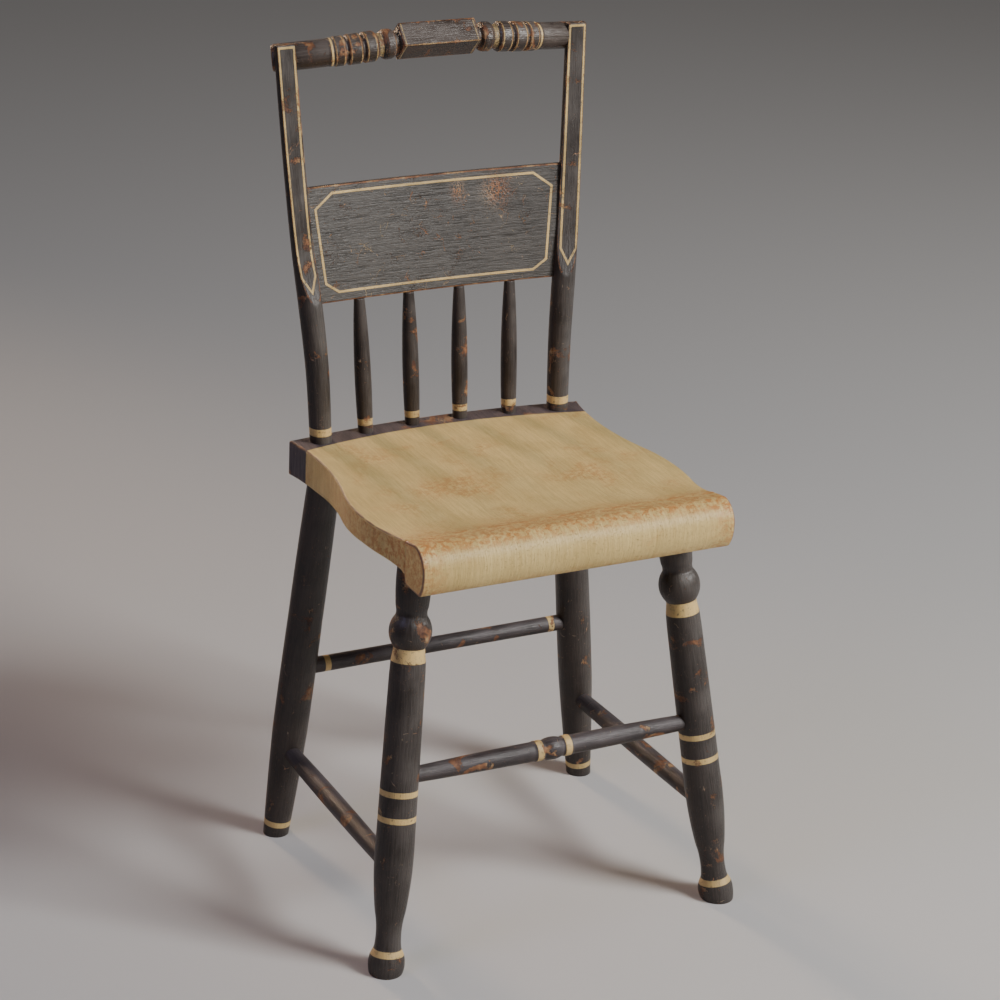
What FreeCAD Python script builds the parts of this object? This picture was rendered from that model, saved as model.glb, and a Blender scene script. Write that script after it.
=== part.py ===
import FreeCAD, Part
import math
import os

import Sketcher

# A painted half-spindle side chair with a plank seat, at its real size in millimetres.
# The floor is z = 0, +Z is up, the chair faces -Y and is mirrored about x = 0.
# "Left" and "right" are the viewer's, looking at the chair's front.
SIZES = {
    # Seat plank and its rolled front
    "seat_height": 450.0,
    "seat_full_width": 362.4,
    "seat_back_width": 340.2,
    "seat_waist_width": 326.0,
    "seat_neck_width": 344.2,
    "seat_depth": 294.0,
    "seat_front_reach": 155.201,
    "seat_back_bow": 13.0,
    "seat_front_rise": 7.0,
    "plank_back_thickness": 38.5,
    "plank_front_thickness": 28.0,
    "roll_width": 345.0,
    "roll_depth": 44.0,
    "roll_height": 49.0,
    "roll_rise": 11.0,
    "roll_end_round": 2.0,
    "tongue_length": 12.0,
    "tongue_thickness": 9.0,
    "tongue_end_margin": 30.0,
    # Fits
    "glue_gap": 0.12,
    "socket_relief": 1.0,
    "overrun": 5.0,
    # Front legs
    "front_socket_inset": 37.4,
    "front_socket_setback": 33.9,
    "front_splay_out": 49.6,
    "front_splay_ahead": 67.9,
    "front_leg_radius": 19.6,
    "front_leg_foot_radius": 18.3,
    "front_leg_ankle_radius": 13.2,
    "front_leg_bead_radius": 21.5,
    "front_leg_neck_radius": 15.5,
    "front_leg_top_radius": 17.7,
    # Back legs
    "back_socket_inset": 37.4,
    "back_socket_setback": 33.9,
    "back_splay_out": 43.7,
    "back_splay_behind": 9.5,
    "back_leg_radius": 19.0,
    "back_leg_foot_radius": 13.9,
    "back_leg_top_radius": 17.2,
    "leg_tenon_radius": 11.0,
    "leg_tenon_length": 18.0,
    # Stretchers
    "front_stretcher_height": 199.8,
    "front_stretcher_end_radius": 8.4,
    "front_stretcher_swell_radius": 10.1,
    "front_stretcher_ball_radius": 11.8,
    "front_stretcher_ball_width": 21.0,
    "front_stretcher_ring_width": 10.5,
    "rear_stretcher_height": 197.8,
    "rear_stretcher_radius": 8.6,
    "side_stretcher_back_height": 101.5,
    "side_stretcher_front_height": 105.5,
    "side_stretcher_radius": 10.0,
    "stretcher_end_radius": 8.8,
    "stretcher_tenon_reach": 4.0,
    # Back posts
    "post_socket_inset": 30.8,
    "post_socket_setback": 13.2,
    "post_height": 411.0,
    "post_spread": 26.2,
    "post_rake": 53.2,
    "post_radius": 12.4,
    "post_face_depth": 8.2,
    "post_top_thickness": 9.0,
    "post_face_turn_angle": 14.0,
    "post_top_turn_angle": 3.0,
    "post_tenon_radius": 9.0,
    "post_tenon_length": 16.0,
    # Half-height spindles
    "spindle_inner_out": 28.1,
    "spindle_inner_top_out": 29.4,
    "spindle_inner_setback": 0.7,
    "spindle_outer_out": 84.4,
    "spindle_outer_top_out": 87.6,
    "spindle_outer_setback": 4.8,
    "spindle_foot_radius": 7.9,
    "spindle_radius": 8.8,
    "spindle_top_radius": 5.6,
    "spindle_tenon_radius": 6.0,
    "spindle_tenon_length": 15.0,
    "spindle_pin_radius": 2.6,
    "spindle_pin_length": 10.0,
    # Lower back slat
    "slat_height": 121.2,
    "slat_thickness": 9.0,
    "slat_bow_radius": 1010.0,
    "slat_behind_post_axis": -0.1,
    "slat_lean_angle": 9.8,
    "slat_tenon_thickness": 5.0,
    "slat_tenon_inset": 0.8,
    "slat_tenon_shoulder": 10.0,
    "slat_pin_radius": 1.8,
    "slat_pin_length": 13.0,
    # Crest rail
    "crest_past_post_axis": 6.4,
    "crest_below_post_top": 4.25,
    "crest_lap": 4.17,
    "crest_end_sweep": 21.2,
    "crest_end_drop": 13.3,
    "crest_ring_radius": 15.5,
    "crest_plain_radius": 14.3,
    "crest_end_radius": 14.2,
    "crest_groove_radius": 12.8,
    "crest_neck_radius": 10.6,
    "crest_block_length": 86.6,
    "crest_block_diagonal": 38.2,
    "crest_peg_radius": 2.5,
    "crest_peg_inset": 10.4,
    "crest_peg_bite": 5.0,
}

# Shares of the sizes above. A post station is (height, outward, backward, radius).
POST_SHARES = (
    (0.0, 0.0, 0.0, 0.935),
    (0.195, 0.103, 0.149, 0.99),
    (0.341, 0.288, 0.291, 1.015),
    (0.487, 0.516, 0.464, 0.96),
    (0.657, 0.7025, 0.6534, 0.925),
    (0.827, 0.858, 0.831, 0.895),
    (1.0, 1.0, 1.0, 0.87),
)
# The flat on a post's front: (height, depth taken off, turn), scooped out at its foot
POST_FACE_SHARES = (
    (0.345, -0.2, 1.0),
    (0.387, 0.40, 1.0),
    (0.426, 0.74, 1.0),
    (0.462, 0.93, 1.0),
    (0.50, 1.0, 0.97),
    (0.657, 0.95, 0.67),
    (0.827, 0.88, 0.34),
    (1.0, 0.79, 0.0),
    (1.03, 0.775, 0.0),
)
POST_BACK_FLAT_SHARE = 0.645
# Where the slat's bottom edge meets the posts, as a share of their height
SLAT_BOTTOM_SHARE = 0.348
# Half of the crest rail, out from its middle: a named radius, then (place, radius) shares
CREST_SHARES = (
    ("crest_neck_radius", (0.0, 1.0), (0.279, 1.0)),
    ("crest_ring_radius", (0.2875, 0.92), (0.305, 0.99), (0.340, 0.99), (0.3575, 0.89)),
    ("crest_groove_radius", (0.3634, 0.94), (0.3922, 0.985)),
    ("crest_ring_radius", (0.4042, 0.967), (0.4128, 1.013), (0.4712, 1.013), (0.477, 0.965)),
    ("crest_groove_radius", (0.481, 1.03), (0.4916, 1.03)),
    ("crest_ring_radius", (0.4974, 0.965), (0.5033, 1.01), (0.5703, 1.01), (0.576, 0.965)),
    ("crest_groove_radius", (0.580, 1.03), (0.5907, 1.03)),
    ("crest_ring_radius", (0.5965, 0.955), (0.6024, 0.987), (0.655, 0.987), (0.6607, 0.925)),
    ("crest_plain_radius", (0.684, 1.02), (0.690, 0.99), (0.817, 1.0)),
    ("crest_end_radius", (0.940, 1.0), (0.985, 0.995), (1.0, 0.90)),
)
CREST_BEND_START_SHARE = 0.40
CREST_SWEEP_POWER = 2.1
CREST_DROP_POWER = 1.71

Vector = FreeCAD.Vector
Rotation = FreeCAD.Rotation
Placement = FreeCAD.Placement
UP = Vector(0, 0, 1)
SIDES = {"left": -1, "right": 1}

os.makedirs("parts", exist_ok=True)
doc = FreeCAD.newDocument("painted_side_chair")
sheet = doc.addObject("Spreadsheet::Sheet", "Sizes")
nodes = []


def write_sizes(first_row, sizes):
    """Writes plain numbers and their aliases into the sheet, from a row downwards."""
    for row, (alias, value) in enumerate(sizes.items(), first_row):
        sheet.set("A%d" % row, alias)
        sheet.set("B%d" % row, repr(float(value)))
        sheet.setAlias("B%d" % row, alias)
    doc.recompute()


def size(alias):
    """The number that the sheet holds for an alias."""
    return float(sheet.get(alias))


write_sizes(1, SIZES)

# Heights and depths that several pieces share
seat_top = size("seat_height")
joint_y = -size("seat_front_reach")
back_y = joint_y + size("seat_depth")
underside_back = seat_top - size("plank_back_thickness")
underside_front = seat_top - size("plank_front_thickness")


def to_side(point, side):
    """A point of the right half, or its mirror image when side is -1."""
    return Vector(side * point.x, point.y, point.z)


def leg_line(end, side):
    """A leg's axis: its point on the floor and its point in the seat's underside."""
    if end == "front":
        top = Vector(size("seat_full_width") / 2 - size("front_socket_inset"),
                     joint_y + size("front_socket_setback"), underside_front)
        sole = Vector(top.x + size("front_splay_out"), top.y - size("front_splay_ahead"), 0)
    else:
        top = Vector(size("seat_full_width") / 2 - size("back_socket_inset"),
                     back_y - size("back_socket_setback"), underside_back)
        sole = Vector(top.x + size("back_splay_out"), top.y + size("back_splay_behind"), 0)
    return to_side(sole, side), to_side(top, side)


def leg_point(end, side, height):
    sole, top = leg_line(end, side)
    return sole + (top - sole) * (height / top.z)


def stretcher_line(kind, side=1):
    """A stretcher's axis, from one leg's axis to the other's."""
    if kind == "front":
        height = size("front_stretcher_height")
        return leg_point("front", -1, height), leg_point("front", 1, height)
    if kind == "rear":
        height = size("rear_stretcher_height")
        return leg_point("back", -1, height), leg_point("back", 1, height)
    return (leg_point("back", side, size("side_stretcher_back_height")),
            leg_point("front", side, size("side_stretcher_front_height")))


def post_point(height, out, back, side):
    """A point of a post's curved axis, from the shares of its height, spread and rake."""
    socket_out = size("seat_back_width") / 2 - size("post_socket_inset")
    return to_side(Vector(socket_out + out * size("post_spread"),
                          back_y - size("post_socket_setback") + back * size("post_rake"),
                          seat_top + height * size("post_height")), side)


def post_section(share, side=1):
    """A post's centre and radius at a share of its height."""
    low, high = next((pair for pair in zip(POST_SHARES, POST_SHARES[1:]) if share <= pair[1][0]),
                     POST_SHARES[-2:])
    part = (share - low[0]) / (high[0] - low[0])
    out, back, radius = (start + part * (end - start) for start, end in zip(low[1:], high[1:]))
    return post_point(share, out, back, side), radius * size("post_radius")


def post_at(height, side=1):
    """A post's centre and radius at a height above the floor."""
    return post_section((height - seat_top) / size("post_height"), side)


def post_back_flat(side=1):
    """Two points of the flat on a post's back: where it runs out, and at the post's top."""
    low, low_radius = post_section(POST_BACK_FLAT_SHARE, side)
    top, top_radius = post_section(1.0, side)
    front_flat = top_radius - POST_FACE_SHARES[-2][1] * size("post_face_depth")
    return (low + Vector(0, low_radius, 0),
            top + Vector(0, size("post_top_thickness") - front_flat, 0))


def post_back_flat_y(height):
    low, top = post_back_flat()
    return low.y + (top.y - low.y) * (height - low.z) / (top.z - low.z)


def slat_sag(across):
    """How far the bowed slat's face has come forward at a distance from its middle."""
    return size("slat_bow_radius") - math.sqrt(size("slat_bow_radius") ** 2 - across ** 2)


def slat_placement():
    """The slat's own frame: its face's bottom middle, leaning back. Half way up the slat, its
    face carried on to the posts lies just behind their axes."""
    turn = Rotation(Vector(1, 0, 0), -size("slat_lean_angle"))
    bottom_z = seat_top + SLAT_BOTTOM_SHARE * size("post_height")
    half_way = turn.multVec(Vector(0, 0, size("slat_height") / 2))
    post = post_at(bottom_z + half_way.z)[0]
    bowed = turn.multVec(Vector(0, slat_sag(post.x), 0))
    middle_y = post.y + size("slat_behind_post_axis") + bowed.y - half_way.y
    return Placement(Vector(0, middle_y, bottom_z), turn)


slat_place = slat_placement()


def slat_point(across, depth, height):
    """A point of the slat: across, behind its front face and up from its bottom edge."""
    return slat_place.multVec(Vector(across, depth - slat_sag(across), height))


def spindle_line(kind, side):
    """A spindle's axis, from the seat's top to the middle of the slat's bottom edge."""
    foot = Vector(size("spindle_%s_out" % kind), back_y - size("spindle_%s_setback" % kind), seat_top)
    head = slat_point(size("spindle_%s_top_out" % kind), size("slat_thickness") / 2, 0)
    return to_side(foot, side), to_side(head, side)


crest_half = post_section(1.0)[0].x + size("crest_past_post_axis")
crest_top_z = seat_top + size("post_height") - size("crest_below_post_top")


def crest_sweep(share):
    """How far the rail's axis has swept back at a share of its half length."""
    bend = max(0, share - CREST_BEND_START_SHARE) / (1 - CREST_BEND_START_SHARE)
    return size("crest_end_sweep") * bend ** CREST_SWEEP_POWER


def crest_drop(share):
    return size("crest_end_drop") * share ** CREST_DROP_POWER


# The rail's middle lies so far ahead that its arms lap the posts' back flats
post_share = post_section(1.0)[0].x / crest_half
crest_middle_y = (post_back_flat_y(crest_top_z - crest_drop(post_share)) + size("crest_plain_radius")
                  - size("crest_lap") - crest_sweep(post_share))


def crest_point(share):
    """A point of the crest rail's axis at a share of its half length: swept back, dropped."""
    return Vector(share * crest_half, crest_middle_y + crest_sweep(share),
                  crest_top_z - crest_drop(share))


def crest_tangent(share):
    """The direction of the rail's axis, outwards, at a share of its half length."""
    nudge = size("glue_gap") / crest_half
    return (crest_point(share + nudge) - crest_point(max(0, share - nudge))).normalize()


def peg_line(side):
    """A crest peg's axis, from the rail's back into the post's back flat."""
    share = 1 - size("crest_peg_inset") / crest_half
    centre = crest_point(share)
    mouth = centre + Vector(0, size("crest_end_radius") / crest_tangent(share).x, 0)
    tip = Vector(centre.x, post_back_flat_y(centre.z) - size("crest_peg_bite"), centre.z)
    return to_side(mouth, side), to_side(tip, side)


def span(line):
    return (line[1] - line[0]).Length


# Sizes worked out from the ones above, in the same sheet
write_sizes(len(SIZES) + 1, {
    "half_full_width": size("seat_full_width") / 2,
    "half_back_width": size("seat_back_width") / 2,
    "half_waist_width": size("seat_waist_width") / 2,
    "half_neck_width": size("seat_neck_width") / 2,
    "roll_bottom": seat_top + size("roll_rise") - size("roll_height"),
    "underside_back": underside_back,
    "underside_front": underside_front,
    "front_leg_length": span(leg_line("front", 1)),
    "back_leg_length": span(leg_line("back", 1)),
    "front_stretcher_length": span(stretcher_line("front")),
    "rear_stretcher_length": span(stretcher_line("rear")),
    "side_stretcher_length": span(stretcher_line("side")),
    "spindle_inner_length": span(spindle_line("inner", 1)),
    "spindle_outer_length": span(spindle_line("outer", 1)),
    "slat_low_half": post_section(SLAT_BOTTOM_SHARE)[0].x,
    "slat_high_half": post_at(slat_point(0, 0, size("slat_height")).z)[0].x,
    "slat_blank_half": size("seat_full_width") / 2,
    "slat_blank_sag": slat_sag(size("seat_full_width") / 2),
    "block_half_diagonal": size("crest_block_diagonal") / 2,
    "crest_peg_length": span(peg_line(1)),
})


# Sketches. A coordinate is a list of (share, alias) pairs that are added up; [] is zero.
def amount(place):
    return sum(share * size(alias) for share, alias in place)


def formula(place):
    return " + ".join("(%r * Sizes.%s)" % pair for pair in place)


def sketch_point(across, up):
    return Vector(amount(across), amount(up), 0)


def body_plane(body, role):
    return next(item for item in body.Origin.OriginFeatures if item.Role == role)


def pin_point(sketch, geometry, point, across, up, label):
    """Dimensions a sketch point from the sheet, or puts it on the axis where it is zero."""
    for kind, place, axis in (("DistanceX", across, -2), ("DistanceY", up, -1)):
        if not place:
            sketch.addConstraint(Sketcher.Constraint("PointOnObject", geometry, point, axis))
            continue
        value = amount(place)
        ends = (-1, 1, geometry, point) if value >= 0 else (geometry, point, -1, 1)
        name = "%s_%s" % (label, kind[-1])
        index = sketch.addConstraint(Sketcher.Constraint(kind, *ends, abs(value)))
        sketch.renameConstraint(index, name)
        sign = "" if value >= 0 else "-"
        sketch.setExpression("Constraints." + name, "%s(%s)" % (sign, formula(place)))


def outline_sketch(body, role, label, steps):
    """A closed, dimensioned sketch. A step is (across, up), a line to that point, or
    (via across, via up, across, up), an arc through one point to another."""
    sketch = body.newObject("Sketcher::SketchObject", label)
    sketch.AttachmentSupport = [(body_plane(body, role), "")]
    sketch.MapMode = "FlatFace"
    points = [sketch_point(*step[-2:]) for step in steps]
    start_of, end_of = [], []
    for number, step in enumerate(steps):
        start, end = points[number - 1], points[number]
        forward = True
        if len(step) == 2:
            sketch.addGeometry(Part.LineSegment(start, end), False)
        else:
            via = sketch_point(*step[:2])
            sketch.addGeometry(Part.Arc(start, via, end), False)
            forward = (via - start).cross(end - via).z > 0
        start_of.append(1 if forward else 2)
        end_of.append(2 if forward else 1)
    for number, step in enumerate(steps):
        following = (number + 1) % len(steps)
        sketch.addConstraint(Sketcher.Constraint(
            "Coincident", number, end_of[number], following, start_of[following]))
        pin_point(sketch, number, end_of[number], *step[-2:], "point%d" % number)
        if len(step) == 4:
            marker = sketch.addGeometry(Part.Point(sketch_point(*step[:2])), True)
            pin_point(sketch, marker, 1, *step[:2], "via%d" % number)
            sketch.addConstraint(Sketcher.Constraint("PointOnObject", marker, 1, number))
    return sketch


# Ways of making a piece
def turned(label, steps):
    """A lathe turning: half its outline, drawn against the Z axis, spun round it."""
    body = doc.addObject("PartDesign::Body", label)
    outline = outline_sketch(body, "XZ_Plane", label + "_outline", steps)
    spin = body.newObject("PartDesign::Revolution", label + "_spin")
    spin.Profile = outline
    spin.ReferenceAxis = (outline, ["V_Axis"])
    return body


def sawn(label, role, steps, length):
    """A board or block: a closed outline padded by half of a length to each side."""
    body = doc.addObject("PartDesign::Body", label)
    outline = outline_sketch(body, role, label + "_outline", steps)
    pad = body.newObject("PartDesign::Pad", label + "_pad")
    pad.Profile = outline
    pad.SideType = "Symmetric"
    pad.setExpression("Length", length)
    return body


def along(start, end):
    """The placement that takes Z onto the line from start to end."""
    return Placement(start, Rotation(UP, end - start))


def rod(label, start, end, radius, length):
    """A round bar from start towards end; radius and length are formulas."""
    cylinder = doc.addObject("Part::Cylinder", label)
    cylinder.setExpression("Radius", radius)
    cylinder.setExpression("Height", length)
    cylinder.Placement = along(start, end)
    return cylinder


def tenon(label, shoulder, tip, radius, length):
    """A tenon that runs as far back into its own piece as it stands out of the shoulder."""
    far = shoulder + (tip - shoulder).normalize() * size(length)
    return rod(label, far, shoulder, "Sizes." + radius, "2 * Sizes." + length)


def socket_bit(label, mouth, inside, radius, length):
    """The bit that bores a tenon's socket: wider by the glue gap, deeper by the relief."""
    backed_off = mouth - (inside - mouth).normalize() * size("overrun")
    return rod(label, backed_off, inside, "Sizes.%s + Sizes.glue_gap" % radius,
               "Sizes.%s + Sizes.socket_relief + Sizes.overrun" % length)


def block(label, corner, turn, length, width, height):
    """A box from a corner, turned about it; its three edges are formulas."""
    box = doc.addObject("Part::Box", label)
    box.setExpression("Length", length)
    box.setExpression("Width", width)
    box.setExpression("Height", height)
    box.Placement = Placement(corner, turn)
    return box


def trimming_block(label, point, above, turn=Rotation()):
    """A block that takes off what lies above, or below, a plane through a point."""
    edge = "Sizes.seat_full_width"
    half = size("seat_full_width") / 2
    corner = Vector(-half, -half, 0 if above else -2 * half)
    return block(label, point + turn.multVec(corner), turn, edge, edge, edge)


def cut(label, base, tools):
    """The base with every tool taken out of it."""
    for number, tool in enumerate(tools):
        step = doc.addObject("Part::Cut", "%s_cut%d" % (label, number + 1))
        step.Base = base
        step.Tool = tool
        base = step
    return base


def fused(label, pieces):
    whole = doc.addObject("Part::MultiFuse", label + "_whole")
    whole.Shapes = pieces
    return whole


def common(label, pieces):
    shared = doc.addObject("Part::MultiCommon", label + "_shared")
    shared.Shapes = pieces
    return shared


def node(label, piece):
    """Names a finished sub-part; the label is its file's name."""
    piece.Label = label
    nodes.append(piece)


seat_bits = []
slat_bits = []
crest_bits = []


# Front leg: a baluster turning with a flared foot, a slim ankle, a long swell, a cove and a
# bead below the neck, and a short barrel up to the seat
def front_leg_outline():
    length = "front_leg_length"

    def at(share):
        return [(share, length)]

    def wide(share, name):
        return [(share, "front_leg_" + name)]

    below = [(-1.0, "overrun")]
    above = [(1.0, length), (2.0, "overrun")]
    return [
        ([], below),
        (wide(0.95, "foot_radius"), below),
        (wide(0.95, "foot_radius"), at(0.002)),
        (wide(1.015, "foot_radius"), at(0.0166), wide(0.94, "foot_radius"), at(0.0427)),
        (wide(0.76, "foot_radius"), at(0.0592)),
        (wide(0.985, "ankle_radius"), at(0.0853), wide(0.796, "radius"), at(0.147)),
        (wide(0.964, "radius"), at(0.2227), wide(1.0, "radius"), at(0.332)),
        (wide(0.98, "radius"), at(0.474), wide(0.9235, "radius"), at(0.7227)),
        (wide(0.898, "radius"), at(0.7536)),
        (wide(0.832, "radius"), at(0.7725), wide(1.013, "neck_radius"), at(0.7867)),
        (wide(1.0, "bead_radius"), at(0.8294), wide(1.032, "neck_radius"), at(0.8614)),
        (wide(1.0, "neck_radius"), at(0.8697), wide(1.058, "neck_radius"), at(0.8815)),
        (wide(1.0, "top_radius"), at(0.924), wide(0.95, "top_radius"), above),
        ([], above),
    ]


# Back leg: a plain round taper, fullest just below the middle
def back_leg_outline():
    length = "back_leg_length"
    below = [(-1.0, "overrun")]
    above = [(1.0, length), (2.0, "overrun")]
    return [
        ([], below),
        ([(1.0, "back_leg_foot_radius")], below),
        ([(1.0, "back_leg_foot_radius")], [(0.002, length)]),
        ([(1.04, "back_leg_foot_radius")], [(0.035, length)]),
        ([(0.905, "back_leg_radius")], [(0.18, length)],
         [(0.993, "back_leg_radius")], [(0.30, length)]),
        ([(1.005, "back_leg_radius")], [(0.42, length)],
         [(0.98, "back_leg_radius")], [(0.62, length)]),
        ([(0.963, "back_leg_radius")], [(0.80, length)],
         [(1.0, "back_leg_top_radius")], above),
        ([], above),
    ]


def stretcher_bit(leg, kind, side):
    """The bit that bores a leg for a stretcher's end, starting past the leg's own axis."""
    start, end = stretcher_line(kind, side)
    here = leg_point(leg, side, start.z)
    mine, other = (start, end) if (start - here).Length < (end - here).Length else (end, start)
    past = (other - mine).normalize() * (size("stretcher_tenon_reach") + size("socket_relief"))
    radius = "front_stretcher_end_radius" if kind == "front" else "stretcher_end_radius"
    return rod("%s_leg_%s_stretcher_bit%+d" % (leg, kind, side), mine - past, other,
               "Sizes.%s + Sizes.glue_gap" % radius, "2 * Sizes.%s_leg_radius" % leg)


def make_leg(end, side_name):
    """A turned leg, cut level at the floor and at the seat, with a round tenon on top."""
    name = "%s_leg_%s" % (end, side_name)
    side = SIDES[side_name]
    sole, top = leg_line(end, side)
    turning = turned(name + "_turning", front_leg_outline() if end == "front" else back_leg_outline())
    turning.Placement = along(sole, top)
    trimmed = cut(name + "_trimmed", turning, [
        trimming_block(name + "_floor", Vector(sole.x, sole.y, 0), above=False),
        trimming_block(name + "_underside", top, above=True)])
    inside = top + (top - sole).normalize()
    whole = fused(name, [
        trimmed, tenon(name + "_tenon", top, inside, "leg_tenon_radius", "leg_tenon_length")])
    bits = [stretcher_bit(end, "front" if end == "front" else "rear", side),
            stretcher_bit(end, "side", side)]
    node(name, cut(name, whole, bits))
    seat_bits.append(socket_bit(name + "_socket", top, inside, "leg_tenon_radius", "leg_tenon_length"))


# Stretchers: straight turnings whose plain round ends are their own tenons. The front one
# has a ball between two rings at its middle; the others swell a little.
def stretcher_ends(kind):
    """The two ends of a stretcher's outline, past the axes of its legs."""
    return ([(-1.0, "stretcher_tenon_reach")],
            [(1.0, kind + "_stretcher_length"), (1.0, "stretcher_tenon_reach")])


def make_front_stretcher():
    length = "front_stretcher_length"
    low, high = stretcher_ends("front")
    tip = [(1.0, "front_stretcher_end_radius")]
    swell = [(1.0, "front_stretcher_swell_radius")]
    easing = [(0.965, "front_stretcher_swell_radius")]
    ring = [(1.07, "front_stretcher_swell_radius")]
    waist = [(0.95, "front_stretcher_swell_radius")]
    ball = [(1.0, "front_stretcher_ball_radius")]

    def beside(side, ring_share):
        """A place beside the ball, at a share of the ring's width away from it."""
        return [(0.5, length), (side * 0.5, "front_stretcher_ball_width"),
                (side * ring_share, "front_stretcher_ring_width")]

    turning = turned("front_stretcher_turning", [
        ([], low),
        (tip, low),
        (tip, [(0.07, length)]),
        (easing, [(0.27, length)], swell, beside(-1, 1.0)),
        (ring, beside(-1, 0.9)),
        (ring, beside(-1, 0.15)),
        (waist, beside(-1, 0.0)),
        (ball, [(0.5, length)], waist, beside(1, 0.0)),
        (ring, beside(1, 0.15)),
        (ring, beside(1, 0.9)),
        (swell, beside(1, 1.0)),
        (easing, [(0.73, length)], tip, [(0.93, length)]),
        (tip, high),
        ([], high),
    ])
    turning.Placement = along(*stretcher_line("front"))
    node("front_stretcher", turning)


def make_plain_stretcher(name, kind, side=1):
    length = kind + "_stretcher_length"
    low, high = stretcher_ends(kind)
    tip = [(1.0, "stretcher_end_radius")]
    full = [(1.0, kind + "_stretcher_radius")]
    turning = turned(name + "_turning", [
        ([], low),
        (tip, low),
        (tip, [(0.08, length)]),
        (full, [(0.5, length)], tip, [(0.92, length)]),
        (tip, high),
        ([], high),
    ])
    turning.Placement = along(*stretcher_line(kind, side))
    node(name, turning)


# Back posts: round at the seat, bent back and out, then shaved flat on the front from about
# mid height up, and on the back near the top, where the crest rail is lapped on
def post_loft(label, side, gap=""):
    """A post's round body through its stations, made larger by a gap where it cuts a mate."""
    rings = []
    for number, (height, out, back, radius) in enumerate(POST_SHARES):
        ring = doc.addObject("Part::Circle", "%s_ring%d" % (label, number))
        ring.setExpression("Radius", "%r * Sizes.post_radius%s" % (radius, gap))
        ring.Placement = Placement(post_point(height, out, back, side), Rotation())
        rings.append(ring)
    loft = doc.addObject("Part::Loft", label)
    loft.Sections = rings
    loft.Solid = True
    return loft


def post_face_tool(label, side):
    """What is shaved off a post's front: a loft through plates that stop at the flat."""
    plates = []
    for number, (height, taken, turned_in) in enumerate(POST_FACE_SHARES):
        centre, radius = post_section(height, side)
        least, most = size("post_top_turn_angle"), size("post_face_turn_angle")
        turn = Rotation(UP, -side * (least + turned_in * (most - least)))
        plate = doc.addObject("Part::Plane", "%s_plate%d" % (label, number))
        plate.setExpression("Length", "4 * Sizes.post_radius")
        plate.setExpression("Width", "3 * Sizes.post_radius")
        flat_depth = radius - taken * size("post_face_depth")
        corner = Vector(-2 * size("post_radius"), -3 * size("post_radius") - flat_depth, 0)
        plate.Placement = Placement(centre + turn.multVec(corner), turn)
        plates.append(plate)
    loft = doc.addObject("Part::Loft", label)
    loft.Sections = plates
    loft.Solid = True
    return loft


def post_back_tool(label, side, gap):
    """What is shaved off a post's back near its top, or that plus the gap for a mate."""
    low, top = post_back_flat(side)
    lean = Rotation(Vector(1, 0, 0), -math.degrees(math.atan2(top.y - low.y, top.z - low.z)))
    corner = low + Vector(0, gap, 0) - lean.multVec(Vector(2 * size("post_radius"), 0, size("overrun")))
    return block(label, corner, lean, "4 * Sizes.post_radius", "3 * Sizes.post_radius", "Sizes.post_height")


def make_back_post(side_name, mortise):
    name = "back_post_" + side_name
    side = SIDES[side_name]
    foot = post_point(*POST_SHARES[0][:3], side)
    inside = foot + (foot - post_point(*POST_SHARES[1][:3], side)).normalize()
    shaved = cut(name + "_shaved", post_loft(name + "_round", side), [
        post_face_tool(name + "_face", side), post_back_tool(name + "_back", side, 0)])
    whole = fused(name, [
        shaved, tenon(name + "_tenon", foot, inside, "post_tenon_radius", "post_tenon_length")])
    seat_bits.append(socket_bit(name + "_socket", foot, inside, "post_tenon_radius",
                                "post_tenon_length"))

    envelope = post_loft(name + "_envelope", side, " + Sizes.glue_gap")
    lap = cut(name + "_lap", envelope, [post_back_tool(name + "_lap_back", side, size("glue_gap"))])
    crest_bits.append(lap)

    pin_mouth, pin_tip = slat_pin_line(side)
    pin_bit = socket_bit("slat_pin_bit_" + side_name, pin_mouth, pin_tip, "slat_pin_radius",
                         "slat_pin_length")
    slat_bits.append(pin_bit)
    peg_bit = socket_bit("crest_peg_bit_" + side_name, *peg_line(side), "crest_peg_radius",
                         "crest_peg_length")
    crest_bits.append(peg_bit)
    node(name, cut(name, whole, [mortise, pin_bit, peg_bit]))
    return envelope


# Lower back slat: a bowed board, scribed to the round posts and tenoned into them. It is
# sawn to its outline in front view and bowed in plan; both are drawn in its own leaning frame.
def bowed_board(label, front, back, low, high, past_post):
    """A bowed board between two depths and two heights, ending at or past the posts' axes."""
    half = [(1.0, "slat_blank_half")]
    minus_half = [(-1.0, "slat_blank_half")]
    ends = [(-1.0, "slat_blank_sag")]
    sheet_body = sawn(label + "_bow", "XY_Plane", [
        (minus_half, ends + front),
        ([], front, half, ends + front),
        (half, ends + back),
        ([], back, minus_half, ends + back),
    ], "3 * Sizes.slat_height")
    low_end = [(1.0, "slat_low_half")] + past_post
    high_end = [(1.0, "slat_high_half")] + past_post
    outline_body = sawn(label + "_face", "XZ_Plane", [
        ([(-share, alias) for share, alias in low_end], low),
        (low_end, low),
        (high_end, high),
        ([(-share, alias) for share, alias in high_end], high),
    ], "Sizes.seat_full_width")
    for body in (sheet_body, outline_body):
        body.Placement = slat_place
    return common(label, [sheet_body, outline_body])


def make_slat_mortise():
    """The room that both posts leave for the slat's tenons, as one long board."""
    gap = [(1.0, "glue_gap")]
    less_gap = [(-1.0, "glue_gap")]
    inset = [(1.0, "slat_tenon_inset")]
    shoulder = [(1.0, "slat_tenon_shoulder")]
    return bowed_board(
        "slat_mortise", inset + less_gap, inset + [(1.0, "slat_tenon_thickness")] + gap,
        shoulder + less_gap, [(1.0, "slat_height"), (-1.0, "slat_tenon_shoulder")] + gap,
        [(0.15, "post_radius"), (1.0, "socket_relief")])


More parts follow.
